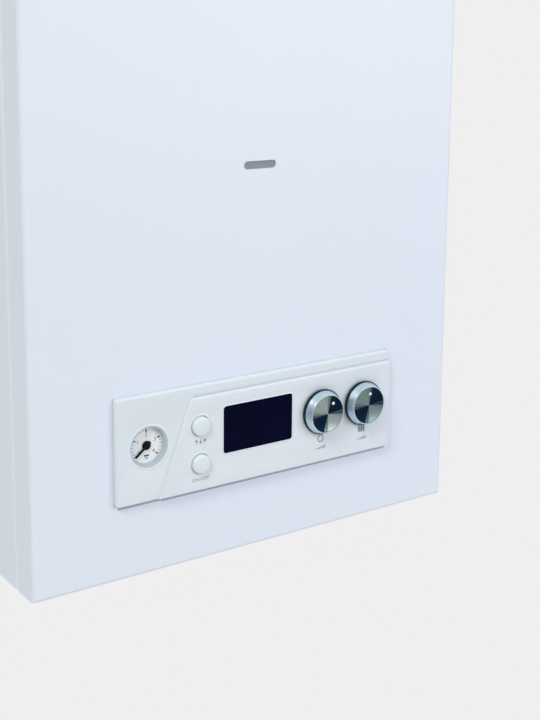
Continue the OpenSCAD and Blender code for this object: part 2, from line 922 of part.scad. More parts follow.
// Hood that gathers the flue gas, with a flat neck behind the fan's inlet
module flue_hood() {
  color("lightgray") difference() {
    union() {
      to_front(y_engine_back, engine_d) hood_outline(0);
      slab([x_fan - neck_w / 2, y_fan_back, z_hood], [x_fan + neck_w / 2, y_engine_back,
           z_fan + neck_w / 2]);
    }
    to_front(y_engine_back - ch_t, engine_d - 2 * ch_t) hood_outline(ch_t);
    slab([x_fan - neck_w / 2 + ch_t, y_fan_back + ch_t, z_hood - cut],
         [x_fan + neck_w / 2 - ch_t, y_engine_back - ch_t, z_fan + neck_w / 2 - ch_t]);
    front_bar(x_fan, y_fan_back + ch_t + cut, z_fan, inlet_r, ch_t + 2 * cut);
  }
}

// Trapezium of the hood, drawn in by the sheet's thickness t
module hood_outline(t) {
  polygon([[-engine_w / 2 + t, z_hood - (t > 0 ? cut : 0)],
           [engine_w / 2 - t, z_hood - (t > 0 ? cut : 0)],
           [hood_top_w / 2 - t, z_hood + hood_h - t], [-hood_top_w / 2 + t, z_hood + hood_h - t]]);
}

// Fan

// Scroll with its inlet at the back, its outlet at the top and a flange for the spigot
module fan_housing() {
  color("silver") difference() {
    union() {
      front_bar(x_fan, y_fan_back, z_fan, scroll_r, fan_w);
      slab([-flue_d / 2, y_fan_front, z_fan], [flue_d / 2, y_fan_back, z_outlet]);
      slab([-outlet_flange / 2, -flue_wall - outlet_flange / 2, z_outlet - flange_t],
           [outlet_flange / 2, -flue_wall + outlet_flange / 2, z_outlet]);
    }
    front_bar(x_fan, y_fan_back - ch_t, z_fan, scroll_r - ch_t, fan_w - 2 * ch_t);
    slab([-flue_d / 2 + ch_t, y_fan_front + ch_t, z_fan],
         [flue_d / 2 - ch_t, y_fan_back - ch_t, z_outlet - flange_t - ch_t]);
    post(0, -flue_wall, z_outlet - flange_t - 2 * ch_t, outlet_r, flange_t + 3 * ch_t);
    front_bar(x_fan, y_fan_back + cut, z_fan, inlet_r, ch_t + 2 * cut);
    front_bar(x_fan, y_fan_front + ch_t + cut, z_fan, fan_shaft_d, ch_t + 2 * cut);
  }
}

// Wheel with forward-curved blades on a disc, and its shaft
module fan_wheel() {
  color("lightsteelblue") translate([x_fan, 0, z_fan]) {
    front_bar(0, y_wheel_disc, 0, wheel_d / 2, wheel_t);
    difference() {
      front_bar(0, y_wheel_ring, 0, wheel_d / 2, wheel_t);
      front_bar(0, y_wheel_ring + cut, 0, blade_root_r, wheel_t + 2 * cut);
    }
    for (i = [0:blade_count - 1]) rotate([0, i * 360 / blade_count, 0])
      translate([blade_root_r + blade_l / 2, 0, 0]) rotate([0, blade_tilt, 0])
        slab([-blade_l / 2, y_wheel_disc - wheel_t, -blade_t / 2],
             [blade_l / 2, y_wheel_ring, blade_t / 2]);
    front_bar(0, y_wheel_disc + wheel_hub_l, 0, wheel_hub_r, wheel_hub_l);
    front_bar(0, y_wheel_disc, 0, fan_shaft_d / 2, y_wheel_disc - y_shaft_end);
  }
}

// Electric motor on the front of the scroll
module fan_motor() {
  color("dimgray") difference() {
    union() {
      front_bar(x_fan, y_fan_front, z_fan, fan_motor_r + 10, 2);
      front_bar(x_fan, y_fan_front, z_fan, fan_motor_r, fan_motor_l);
      slab([x_fan - 22, y_fan_front - fan_motor_l + 8, z_fan - fan_motor_r - 6],
           [x_fan + 22, y_fan_front - 8, z_fan]);
    }
    front_bar(x_fan, y_fan_front + cut, z_fan, fan_shaft_d / 2 + run_gap,
              y_fan_front - y_shaft_end + slip_gap + cut);
  }
}

// Round spigot that takes the flue gas pipe
module flue_spigot() {
  color("lightgray") difference() {
    union() {
      post(0, -flue_wall, z_outlet, flue_d / 2 + flue_t, z_top + flue_rise - z_outlet);
      post(0, -flue_wall, z_outlet, flue_d / 2 + 8, flange_t);
    }
    post(0, -flue_wall, z_outlet - cut, flue_d / 2, z_top + flue_rise - z_outlet + 2 * cut);
  }
}

// Outer collar that takes the fresh air pipe, screwed to the top plate
module air_collar() {
  color("gainsboro") difference() {
    union() {
      post(0, -flue_wall, z_ch_top, air_d / 2, z_top + air_rise - z_ch_top);
      post(0, -flue_wall, z_top, air_d / 2 + 18, collar_t);
    }
    post(0, -flue_wall, z_ch_top - cut, air_d / 2 - air_t, z_top + air_rise - z_ch_top + 2 * cut);
    for (a = [45:90:315]) translate([0, -flue_wall, 0]) rotate(a)
      post(air_d / 2 + 11, 0, z_top - cut, collar_hole_r, collar_t + 2 * cut);
  }
}

// Membrane switch that proves the fan's draught, on the chamber's back wall
module air_pressure_switch() {
  color("ivory") {
    front_bar(x_switch, y_ch_back - ch_t, z_switch, switch_r, switch_t);
    front_bar(x_switch, y_ch_back - ch_t - switch_t, z_switch, switch_r - 8, 6);
    for (s = [-1, 1]) post(x_switch + s * port_gap, y_port, z_switch + switch_r - 2, port_r, 12);
  }
}

// Two silicone tubes from the switch, one to the scroll's outlet and one left open to the chamber
module pressure_tubes() {
  color("white") {
    difference() {
      union() {
        post(x_switch + port_gap, y_port, z_tube_low, tube_r, z_tube_top - z_tube_low);
        translate([x_switch + port_gap, y_port, z_tube_top]) elbow(tube_r, tube_bend);
        side_bar(x_switch + port_gap + tube_bend, y_port, z_tube_top + tube_bend, tube_r,
                 tube_run);
      }
      tube_sockets(port_gap);
    }
    difference() {
      post(x_switch - port_gap, y_port, z_tube_low, tube_r, z_tube_top - z_tube_low);
      tube_sockets(-port_gap);
    }
  }
}

module tube_sockets(dx) {
  post(x_switch + dx, y_port, z_tube_low - cut, port_r, z_switch + switch_r + 10 - z_tube_low
       + cut);
}

// Flat round expansion vessel behind the chamber, pressed from two shells
module expansion_vessel() {
  color("firebrick") {
    translate([0, y_vessel, z_vessel]) rotate([90, 0, 0]) rotate_extrude($fn = 96)
      vessel_outline();
    translate([x_vessel_port, y_vessel, z_vessel_port]) cylinder(r = 9, h = 20);
  }
}

module vessel_outline() {
  translate([0, -vessel_t / 2]) square([vessel_r - vessel_edge - 2, vessel_t]);
  translate([0, -vessel_t / 2 + vessel_edge])
    square([vessel_r - 2, vessel_t - 2 * vessel_edge]);
  translate([0, -3]) square([vessel_r, 6]);
  for (s = [-1, 1]) translate([vessel_r - vessel_edge - 2, s * (vessel_t / 2 - vessel_edge)])
    circle(vessel_edge);
}

// Water parts

// Risers between the water parts and the heat exchanger, and the vessel's pipe
module copper_pipes() {
  color("chocolate") {
    riser(z_pump, x_pump + volute_r);
    mirror([1, 0, 0]) riser(z_block, x_block_end);
    vessel_pipe();
  }
}

// Pipe that leaves at x_from, turns up beside the engine and turns in to its header
module riser(z_from, x_from) {
  header_x = engine_w / 2 + header_t;
  side_bar(x_from, y_pipe, z_from, riser_r, x_riser - elbow_r - x_from);
  translate([x_riser, y_pipe, z_from + elbow_r]) mirror([0, 0, 1]) mirror([1, 0, 0])
    elbow(riser_r, elbow_r);
  post(x_riser, y_pipe, z_from + elbow_r, riser_r, z_water - z_from - 2 * elbow_r);
  translate([x_riser, y_pipe, z_water - elbow_r]) mirror([1, 0, 0]) elbow(riser_r, elbow_r);
  side_bar(header_x, y_pipe, z_water, riser_r, x_riser - elbow_r - header_x);
}

module vessel_pipe() {
  post(x_vessel_port, y_vessel, z_block + elbow_r, vessel_pipe_r,
       z_vessel_port - z_block - elbow_r);
  translate([x_vessel_port, y_vessel, z_block + elbow_r]) rotate(-90) mirror([0, 0, 1])
    elbow(vessel_pipe_r, elbow_r);
  front_bar(x_vessel_port, y_vessel - elbow_r, z_block, vessel_pipe_r,
            y_vessel - elbow_r - y_boss);
}

// Cast volute with its suction neck
module pump_body() {
  color("darkslategray") difference() {
    union() {
      front_bar(x_pump, y_pump_back, z_pump, volute_r, volute_t);
      post(x_pump, y_pipe, z_block + block_r, neck_r, volute_r / 2);
      post(x_vent, y_pipe, z_vent, vent_r + 2, volute_r - 26);
    }
    front_bar(x_pump, y_pump_back - 6, z_pump, impeller_d / 2 + 3, volute_t - 6 + cut);
    post(x_pump, y_pipe, z_block + block_r - cut, riser_r - 1, volute_r / 2);
    side_bar(x_pump, y_pipe, z_pump, riser_r - 1, volute_r + cut);
  }
}

// Wet-rotor motor can on the front of the volute, with a vent screw
module pump_motor() {
  color("midnightblue") difference() {
    union() {
      front_bar(x_pump, y_pump_front, z_pump, volute_r - 4, 6);
      front_bar(x_pump, y_pump_front - 6, z_pump, motor_r, pump_motor_l - 6);
      slab([x_pump - 24, y_pump_front - pump_motor_l + 14, z_pump],
           [x_pump + 24, y_pump_front - 14, z_pump + motor_r + 12]);
      front_bar(x_pump, y_pump_front - pump_motor_l, z_pump, 9, 4);
    }
    front_bar(x_pump, y_pump_front + cut, z_pump, rotor_shaft_r + run_gap,
              pump_motor_l - 20 + cut);
  }
}

// Impeller with curved vanes and its ceramic shaft
module pump_rotor() {
  color("lightgray") translate([x_pump, 0, z_pump]) {
    front_bar(0, y_pump_front + 6, 0, impeller_d / 2, 2);
    difference() {
      front_bar(0, y_pump_back - 18, 0, impeller_d / 2, 2);
      front_bar(0, y_pump_back - 17, 0, 15, 4);
    }
    for (i = [0:5]) rotate([0, i * 60, 0]) translate([impeller_d / 4 + 4, 0, 0])
      rotate([0, 30, 0])
        slab([-impeller_d / 4 + 8, y_pump_front + 5, -1], [impeller_d / 4 - 6, y_pump_back - 19, 1]);
    front_bar(0, y_pump_front + 14, 0, 8, 10);
    front_bar(0, y_pump_front + 6, 0, rotor_shaft_r, pump_motor_l - 16);
  }
}

// Automatic air vent on the pump
module air_vent() {
  color("gold") {
    post(x_vent, y_pipe, z_vent + volute_r - 26, vent_r, vent_tall - 8);
    post(x_vent, y_pipe, z_vent + volute_r - 34 + vent_tall, vent_r / 2, 4);
    post(x_vent, y_pipe, z_vent + volute_r - 30 + vent_tall, vent_r / 2 + 1, 5);
  }
}

// Stack of brazed plates that heats the tap water, with four ports
module plate_heat_exchanger() {
  color("lightgray") {
    for (i = [0:plate_count - 1]) {
      edge = i % 2 == 0 ? 0 : 1;
      translate([0, y_plates + (i + 1) * exchanger_plate_t, z_plates + exchanger_plate_h / 2])
        rotate([90, 0, 0]) linear_extrude(exchanger_plate_t)
          round_rect(exchanger_plate_w - 2 * edge, exchanger_plate_h - 2 * edge, 12);
    }
    for (s = [-1, 1]) {
      front_bar(s * port_x, y_plates, z_block, boss_r - 2, y_plates - y_boss);
      front_bar(s * port_x, y_plates, z_port_up, boss_r - 2, 4);
    }
  }
}

// Brass block of the return side, with the cold water inlet, filling tap and safety valve seats
module return_block() {
  color("goldenrod") difference() {
    union() {
      side_bar(x_block_in, y_pipe, z_block, block_r, x_block_end - x_block_in);
      block_sockets(1);
      post(x_tap, y_pipe, z_socket, 8, z_block - z_socket);
      front_bar(x_vessel_port, y_boss, z_block, vessel_pipe_r + 4, y_boss - y_pipe);
      front_bar(safety_x, y_pipe, z_block, 12, y_pipe - safety_y);
    }
    post(x_tap, y_pipe, z_socket - cut, tap_pin_r + run_gap, 14 + cut);
  }
}

// Brass block of the flow side, with the diverter valve's seat
module flow_block() {
  color("goldenrod") difference() {
    union() {
      side_bar(-x_block_end, y_pipe, z_block, block_r, x_block_end - x_block_in);
      block_sockets(-1);
      post(x_diverter, y_pipe, z_block, seat_r + 4, z_diverter - z_block);
    }
    post(x_diverter, y_pipe, z_block - 6, stem_r + run_gap, z_diverter - z_block + 6 + cut);
    post(x_diverter, y_pipe, z_diverter - stem_head - 2, seat_r + slip_gap, stem_head + 2 + cut);
  }
}

// The two sockets under a block and the boss behind it, on the side that s gives
module block_sockets(s) {
  for (i = [1, 2]) post(s * i * pipe_pitch, y_pipe, z_pipe_top, pipe_r(i) + 2, z_block - z_pipe_top);
  front_bar(s * port_x, y_boss, z_block, boss_r, y_boss - y_pipe);
}

// Synchronous motor that moves the diverter's stem
module diverter_motor() {
  color("dimgray") difference() {
    union() {
      translate([x_diverter, y_pipe, z_diverter]) linear_extrude(diverter_h)
        round_rect(diverter_w, diverter_w, 5);
      post(x_diverter, y_pipe, z_diverter + diverter_h, diverter_w / 2 - 6, 6);
    }
    post(x_diverter, y_pipe, z_diverter - cut, stem_r + run_gap, 24 + cut);
  }
}

// Stem with a round seal that slides up and down
module diverter_stem() {
  color("lightgray") {
    post(x_diverter, y_pipe, z_stem_low, stem_r, z_stem_high - z_stem_low);
    post(x_diverter, y_pipe, z_stem_seal, seat_r, 4);
  }
}

// Spring-loaded relief valve on the front of the return block
module safety_valve() {
  color("gold") difference() {
    union() {
      front_bar(safety_x, safety_y, z_block, 11, safety_l);
      front_bar(safety_x, safety_y - 4, z_block, 13, 10, $fn = 6);
      post(safety_x, safety_y - 24, z_block - 24, 7, 24);
    }
    front_bar(safety_x, safety_y - safety_l + 12, z_block, safety_pin_r + run_gap, 12 + cut);
    post(safety_x, safety_y - 24, z_block - 24 - cut, 5, 14 + cut);
  }
}

// Ribbed cap that is turned to open the relief valve
module safety_valve_knob() {
  color("red") {
    difference() {
      front_bar(safety_x, safety_y - safety_l - slip_gap, z_block, 14, safety_knob_l);
      for (a = [0:30:330]) translate([safety_x, 0, z_block]) rotate([0, a, 0])
        front_bar(14.8, safety_y - safety_l - 3, 0, 2, safety_knob_l);
    }
    front_bar(safety_x, safety_y - safety_l + 10, z_block, safety_pin_r, 12);
  }
}

// Gas control with two solenoid coils
module gas_valve() {
  color("silver") {
    slab([-gas_valve_w / 2, y_valve_front, z_gas_valve],
         [gas_valve_w / 2, y_valve_front + gas_valve_d, z_gas_valve + gas_valve_h - outlet_l]);
    post(0, y_pipe, z_gas_valve + gas_valve_h - outlet_l, outlet_boss_r, outlet_l);
    for (i = [0, 1])
      front_bar(0, y_valve_front, z_gas_valve + solenoid_up + i * solenoid_pitch, solenoid_r,
                solenoid_l);
  }
}

// Connection pipe number i from the left, with its thread's plain cylinder at the lower end
module connection_pipe(i, top) {
  thread_r = (abs(i) == 1 ? thread_small_d : thread_large_d) / 2;
  color("chocolate") difference() {
    union() {
      post(i * pipe_pitch, y_pipe, z_stub, pipe_r(i), top - z_stub);
      post(i * pipe_pitch, y_pipe, z_stub, thread_r, thread_l);
    }
    post(i * pipe_pitch, y_pipe, z_stub - cut, pipe_r(i) - pipe_wall_t, top - z_stub + 2 * cut);
  }
}

module heating_flow_pipe() {
  connection_pipe(-2, z_pipe_top);
}

module hot_water_pipe() {
  connection_pipe(-1, z_pipe_top);
}

module gas_pipe() {
  connection_pipe(0, z_gas_valve);
}

module cold_water_pipe() {
  connection_pipe(1, z_pipe_top);
}

module heating_return_pipe() {
  connection_pipe(2, z_pipe_top);
}

// Hexagon nuts that hold the pipes in their sockets, and the gas valve's union nut
module pipe_nuts() {
  color("gold") for (i = [-2:2]) {
    z = i == 0 ? z_gas_valve - nut_h - seat_gap : z_pipe_top - nut_h - seat_gap;
    difference() {
      post(i * pipe_pitch, y_pipe, z, pipe_r(i) + 6, nut_h, $fn = 6);
      post(i * pipe_pitch, y_pipe, z - cut, pipe_r(i) + run_gap, nut_h + 2 * cut);
    }
  }
}

// Fluted knob below the casing that opens the filling tap
module filling_tap_knob() {
  color("black") {
    difference() {
      post(x_tap, y_pipe, z_tap_low, tap_knob_r, tap_knob_h);
      for (a = [0:45:315]) translate([x_tap, y_pipe, z_tap_low - cut]) rotate(a)
        post(tap_knob_r + 1, 0, 0, 2.6, tap_knob_h + 2 * cut);
    }
    post(x_tap, y_pipe, z_tap_low + tap_knob_h - 1, tap_pin_r,
         z_socket + tap_pin_in - z_tap_low - tap_knob_h + 1);
  }
}

// Cable gland for the mains cable, with its locknut inside
module cable_gland() {
  color("black") difference() {
    union() {
      post(x_gland, y_gland, z_bot - 6, 13, 6, $fn = 6);
      post(x_gland, y_gland, z_bot - 16, 11, 10);
      post(x_gland, y_gland, z_bot - 6, gland_r - seat_gap, 16);
      post(x_gland, y_gland, z_bot + sheet_t, 13, 5, $fn = 6);
    }
    post(x_gland, y_gland, z_bot - 16 - cut, gland_bore_d / 2, 26 + 2 * cut);
  }
}

// Control box

// Moulded tray behind the panel, with its hinge pins and the hole where the wiring leaves
module control_tray() {
  color("dimgray") {
    difference() {
      slab([-tray_half, y_flange_in, z_tray], [tray_half, y_tray_rear, z_tray + tray_h]);
      slab([-tray_half + mould_t, y_flange_in - cut, z_tray + mould_t],
           [tray_half - mould_t, y_tray_rear - mould_t, z_tray + tray_h - mould_t]);
      slab([-tray_half + harness_in, y_tray_rear - mould_t - cut,
            z_tray + tray_h - harness_in - harness_h],
           [-tray_half + harness_in + harness_w, y_tray_rear + cut,
            z_tray + tray_h - harness_in]);
    }
    for (s = [-1, 1])
      side_bar(s * (tray_half + hinge_pin_l / 2) - hinge_pin_l / 2, y_hinge, z_hinge,
               hinge_pin_d / 2, hinge_pin_l);
    for (x = [-board_post_x, board_post_x], z = [z_board + post_up, z_board + board_h - post_up])
      front_bar(x_board + x, y_tray_rear - mould_t, z, post_r,
                y_tray_rear - mould_t - y_board - board_t);
  }
}

// Moulded panel: a flange behind the cover, the face that fills its window and the raised plate
module control_fascia() {
  color("whitesmoke") difference() {
    union() {
      slab([-tray_half, y_flange, z_tray], [tray_half, y_flange_in, z_tray + tray_h]);
      translate([0, y_fascia, z_fascia + fascia_h / 2])
        pan(fascia_w, fascia_h, y_flange_in - y_fascia, fascia_edge_r);
      raised_plate();
    }
    slab([-fascia_half + mould_t, y_panel_in, z_fascia + mould_t],
         [fascia_half - mould_t, y_flange_in + cut, z_fascia + fascia_h - mould_t]);
    for (x = [knob_x, knob_x + knob_pitch])
      front_bar(x, y_panel_in + cut, z_panel, knob_shaft_d / 2 + slip_gap, panel_cut);
    for (z = [z_button_low, z_button_high])
      front_bar(button_x, y_panel_in + cut, z, button_d / 2 + button_gap, panel_cut);
    front_bar(gauge_x, y_panel_in + cut, z_gauge, gauge_r, panel_cut);
    translate([display_x, 0, z_display]) {
      to_front(y_plate + display_t, display_t + cut)
        round_rect(display_w + 0.2, display_h + 0.2, display_r);
      to_front(y_panel_in + cut, panel_cut) round_rect(display_w - 8, display_h - 8, display_r);
    }
  }
}

// Plate with a slanted left edge that lies flush with the panel's right and lower edges
module raised_plate() {
  intersection() {
    translate([0, y_plate, z_fascia + fascia_h / 2])
      pan(fascia_w, fascia_h, y_flange_in - y_plate, fascia_edge_r);
    to_front(y_fascia + cut, fascia_proud + cut)
      polygon([[-plate_top_x, z_fascia + plate_h], [fascia_half, z_fascia + plate_h],
               [fascia_half, z_fascia], [-plate_bottom_x, z_fascia]]);
  }
}

module display_window() {
  color("black") translate([display_x, 0, z_display])
    to_front(y_plate + display_t, display_t) round_rect(display_w, display_h, display_r);
}

// Circuit board with its screen, switches, encoders, relays and transformer
module circuit_board() {
  color("darkgreen") {
    difference() {
      slab([x_board - board_w / 2, y_board, z_board],
           [x_board + board_w / 2, y_board + board_t, z_board + board_h]);
      for (x = [-board_post_x, board_post_x], z = [z_board + post_up, z_board + board_h - post_up])
        front_bar(x_board + x, y_board + board_t + cut, z, post_hole_r, board_t + 2 * cut);
    }
    slab([display_x - screen_w / 2, y_board - screen_d, z_display - screen_h / 2],
         [display_x + screen_w / 2, y_board, z_display + screen_h / 2]);
    for (z = [z_button_low, z_button_high])
      slab([button_x - switch_w / 2, y_switch, z - switch_w / 2],
           [button_x + switch_w / 2, y_board, z + switch_w / 2]);
    for (x = [knob_x, knob_x + knob_pitch]) translate([x, 0, z_panel]) difference() {
      slab([-encoder_w / 2, y_encoder, -encoder_w / 2], [encoder_w / 2, y_board, encoder_w / 2]);
      front_bar(0, y_encoder + shaft_in + slip_gap, 0, knob_shaft_d / 2 + run_gap,
                shaft_in + slip_gap + cut);
    }
    slab([board_right - coil_in - coil_w, y_board + board_t, z_board + coil_up],
         [board_right - coil_in, y_board + board_t + coil_d, z_board + coil_up + coil_h]);
    for (i = [0:3])
      slab([board_left + relay_in + i * relay_pitch, y_board + board_t, z_board + coil_up],
           [board_left + relay_in + i * relay_pitch + relay_w, y_board + board_t + relay_d,
            z_board + coil_up + relay_h]);
    for (i = [0:4])
      slab([board_left + plug_in + i * plug_pitch, y_board + board_t,
            z_board + board_h - plug_low],
           [board_left + plug_in + i * plug_pitch + plug_w, y_board + board_t + plug_d,
            z_board + board_h - plug_low + plug_h]);
  }
}

// Domed push button with a rear flange and a stem that works its switch
module push_button(z) {
  color("white") {
    front_bar(button_x, y_button_in + button_flange, z, button_d / 2 + 1.6, button_flange);
    front_bar(button_x, y_button_in, z, button_d / 2, y_button_in - y_button + button_dome);
    translate([button_x, y_button + button_dome, z]) rotate([90, 0, 0])
      rotate_extrude() button_crown();
    front_bar(button_x, y_switch - button_travel - 0.3, z, button_stem_r,
              y_switch - button_travel - 0.3 - y_button_in);
  }
}

// Half section of the button's crown: a low dome with a round edge
module button_crown() {
  intersection() {
    square([button_d / 2, button_dome]);
    translate([0, button_dome - crown_r]) circle(crown_r, $fn = 128);
  }
}

module set_button() {
  push_button(z_button_high);
}

module power_button() {
  push_button(z_button_low);
}

// Round knob with a flanged base, its shaft and a seat for the face disc
module knob(x) {
  color("silver") translate([x, 0, z_panel]) {
    translate([0, y_knob, 0]) rotate([90, 0, 0]) rotate_extrude($fn = 96) knob_outline();
    front_bar(0, y_encoder + shaft_in, 0, knob_shaft_d / 2, y_encoder + shaft_in - y_knob);
  }
}

// Half section of a knob, its back on the first axis and its face at knob_tall
module knob_outline() {
  difference() {
    polygon([[0, 0], [knob_base_r, 0], [knob_base_r, knob_base_h - 1],
             [knob_base_r - 1, knob_base_h], [knob_waist_r, knob_base_h],
             [knob_face_r + 0.9, knob_tall - 0.8], [knob_face_r + 0.3, knob_tall], [0, knob_tall]]);
    translate([-cut, knob_tall - face_t]) square([knob_face_r + 0.1 + cut, face_t + cut]);
  }
}

// Spun aluminium disc set in the knob, with its index dimple
module knob_face(x) {
  color("lightgray") difference() {
    front_bar(x, y_knob - knob_tall + face_t, z_panel, knob_face_r, face_t);
    front_bar(x + dimple_right, y_knob - knob_tall + dimple_in, z_panel + dimple_up, dimple_r,
              dimple_in + cut);
  }
}

module left_knob() {
  knob(knob_x);
}

module left_knob_face() {
  knob_face(knob_x);
}

module right_knob() {
  knob(knob_x + knob_pitch);
}

module right_knob_face() {
  knob_face(knob_x + knob_pitch);
}

// Gauge can with a conical surround, the dial and the spindle's bearing
module gauge_body() {
  color("whitesmoke") translate([gauge_x, y_fascia, z_gauge]) rotate([90, 0, 0])
    rotate_extrude($fn = 96) gauge_outline();
}

// Half section of the gauge, with the panel's face at 0 and the back below it
module gauge_outline() {
  r_out = gauge_r - gauge_gap;
  polygon([[spindle_r + run_gap, -dial_depth - spindle_seat], [spindle_r + run_gap, -dial_depth],
           [dial_d / 2, -dial_depth], [r_out - rim_w, -rim_in], [r_out, -rim_in],
           [r_out, -gauge_can_l], [0, -gauge_can_l], [0, -dial_depth - spindle_seat]]);
}

// Needle with a round hub, at rest at the dial's zero
module gauge_needle() {
  color("black") translate([gauge_x, y_fascia + dial_depth, z_gauge]) {
    front_bar(0, -needle_lift, 0, hub_r, hub_t);
    front_bar(0, spindle_in, 0, spindle_r, spindle_in + needle_lift + hub_t / 2);
    rotate([0, 90 - needle_zero, 0]) translate([0, -needle_lift - hub_rim, 0])
      to_front(0, needle_t) polygon([[-needle_w / 2, -needle_tail], [needle_w / 2, -needle_tail],
                                     [needle_tip_w / 2, needle_l], [-needle_tip_w / 2, needle_l]]);
  }
}

module gauge_lens() {
  color("lightcyan") translate([gauge_x, y_fascia + lens_in, z_gauge]) rotate([90, 0, 0])
    cylinder(r = lens_r, h = lens_t);
}

wall_bracket();
back_plate();
left_side_panel();
right_side_panel();
top_plate();
bottom_plate();
front_cover();
sight_window();
chamber_box();
chamber_cover();
chamber_screws();
chamber_window();
burner();
gas_manifold();
firebox();
heat_exchanger();
flue_hood();
fan_housing();
fan_wheel();
fan_motor();
flue_spigot();
air_collar();
air_pressure_switch();
pressure_tubes();
expansion_vessel();
copper_pipes();
pump_body();
pump_motor();
pump_rotor();
air_vent();
plate_heat_exchanger();
return_block();
flow_block();
diverter_motor();
diverter_stem();
safety_valve();
safety_valve_knob();
gas_valve();
heating_flow_pipe();
hot_water_pipe();
gas_pipe();
cold_water_pipe();
heating_return_pipe();
pipe_nuts();
filling_tap_knob();
cable_gland();
control_tray();
control_fascia();
display_window();
circuit_board();
set_button();
power_button();
left_knob();
left_knob_face();
right_knob();
right_knob_face();
gauge_body();
gauge_needle();
gauge_lens();
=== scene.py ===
# Wall-hung gas boiler: white powder coated casing, control box with gauge, buttons, display and
# two knobs, and the sealed chamber and water parts behind the front cover.
import math

import bmesh
import bpy
from mathutils import Matrix, Vector


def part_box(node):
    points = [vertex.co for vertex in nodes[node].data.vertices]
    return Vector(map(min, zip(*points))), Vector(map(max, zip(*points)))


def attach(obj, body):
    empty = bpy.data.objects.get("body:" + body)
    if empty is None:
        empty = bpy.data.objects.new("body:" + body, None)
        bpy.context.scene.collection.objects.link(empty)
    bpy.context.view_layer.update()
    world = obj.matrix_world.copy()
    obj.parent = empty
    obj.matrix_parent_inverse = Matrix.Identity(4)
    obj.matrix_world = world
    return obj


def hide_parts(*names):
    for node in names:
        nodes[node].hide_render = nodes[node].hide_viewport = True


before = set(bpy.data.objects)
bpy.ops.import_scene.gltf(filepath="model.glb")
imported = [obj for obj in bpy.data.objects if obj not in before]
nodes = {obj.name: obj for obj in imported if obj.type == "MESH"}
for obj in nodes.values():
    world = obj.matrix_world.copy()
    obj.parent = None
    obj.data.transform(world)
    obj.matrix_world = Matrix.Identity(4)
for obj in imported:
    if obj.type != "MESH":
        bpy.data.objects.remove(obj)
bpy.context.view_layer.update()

# Wall bracket: a folded strip of galvanised steel with two hooks, bolted to the wall.
# Hot-dip zinc freezes in flat crystals about 9 mm wide, each with its own grey and gloss.
MM = 0.001


def linear(colour):
    """An sRGB hex colour as linear red, green, blue and alpha."""
    parts = [int(colour[i:i + 2], 16) / 255 for i in (0, 2, 4)]
    return [c / 12.92 if c <= 0.04045 else ((c + 0.055) / 1.055) ** 2.4 for c in parts] + [1.0]


def add_node(tree, kind, inputs=(), **settings):
    """Adds one node; a socket given as an input is linked and anything else is its value."""
    node = tree.nodes.new(kind)
    for name, value in settings.items():
        setattr(node, name, value)
    for name, value in dict(inputs).items():
        if isinstance(value, bpy.types.NodeSocket):
            tree.links.new(value, node.inputs[name])
        else:
            node.inputs[name].default_value = value
    return node


def new_finish(name, colour, roughness, metallic=0.0, sockets=()):
    """A material with its shader's plain values set, its node tree and its shader."""
    material = bpy.data.materials.new(name)
    material.use_nodes = True
    shader = material.node_tree.nodes["Principled BSDF"]
    shader.inputs["Base Color"].default_value = linear(colour)
    shader.inputs["Roughness"].default_value = roughness
    shader.inputs["Metallic"].default_value = metallic
    for socket, value in dict(sockets).items():
        shader.inputs[socket].default_value = value
    return material, material.node_tree, shader


def blend_colours(tree, shader, factor, low, high):
    """Leads the base colour from low to high as factor goes from 0 to 1."""
    mix = add_node(tree, "ShaderNodeMix", data_type="RGBA")
    tree.links.new(factor, mix.inputs["Factor"])
    mix.inputs["A"].default_value = linear(low)
    mix.inputs["B"].default_value = linear(high)
    tree.links.new(mix.outputs["Result"], shader.inputs["Base Color"])


def raise_surface(tree, shader, height, depth_mm):
    """Turns a height from 0 to 1 into relief that is depth_mm deep."""
    bump = add_node(tree, "ShaderNodeBump", {"Height": height, "Strength": 1.0,
                                             "Distance": depth_mm * MM})
    tree.links.new(bump.outputs["Normal"], shader.inputs["Normal"])


def galvanised_steel(name, low, high):
    material, tree, shader = new_finish(name, high, 0.42, 1.0)
    place = add_node(tree, "ShaderNodeTexCoord")
    crystals = add_node(tree, "ShaderNodeTexVoronoi", {"Vector": place.outputs["Object"],
                                                       "Scale": 1 / (9 * MM)})
    grey = add_node(tree, "ShaderNodeSeparateColor", {"Color": crystals.outputs["Color"]})
    blend_colours(tree, shader, grey.outputs["Red"], low, high)
    gloss = add_node(tree, "ShaderNodeMapRange", {"Value": grey.outputs["Green"],
                                                  "To Min": 0.34, "To Max": 0.5})
    tree.links.new(gloss.outputs["Result"], shader.inputs["Roughness"])
    raise_surface(tree, shader, crystals.outputs["Distance"], 0.03)
    return material


def dress(material, *names):
    """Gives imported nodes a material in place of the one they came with."""
    for name in names:
        mesh = nodes[name].data
        mesh.materials.clear()
        mesh.materials.append(material)


zinc_sheet = galvanised_steel("galvanised_sheet_steel", "adb2b4", "c2c7c9")
dress(zinc_sheet, "wall_bracket")

# Back plate: the same galvanised sheet, hung on the bracket's hooks.
# Resistance welds along its edges leave round dents, and pan-head screws hold the inner parts.
SHEET = 1.2 * MM


def mm(x, y, z):
    """A place given in millimetres."""
    return Vector((x, y, z)) * MM


def in_mm(pairs):
    """Pairs of numbers given in millimetres, such as the points of a profile."""
    return [(a * MM, b * MM) for a, b in pairs]


def middle(node):
    """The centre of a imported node's box."""
    low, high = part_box(node)
    return (low + high) / 2


def sharpen(bm, angle):
    """Shades a mesh smooth, apart from the edges that turn more than the angle."""
    for face in bm.faces:
        face.smooth = True
    for edge in bm.edges:
        edge.smooth = len(edge.link_faces) == 2 and edge.calc_face_angle(0) < math.radians(angle)


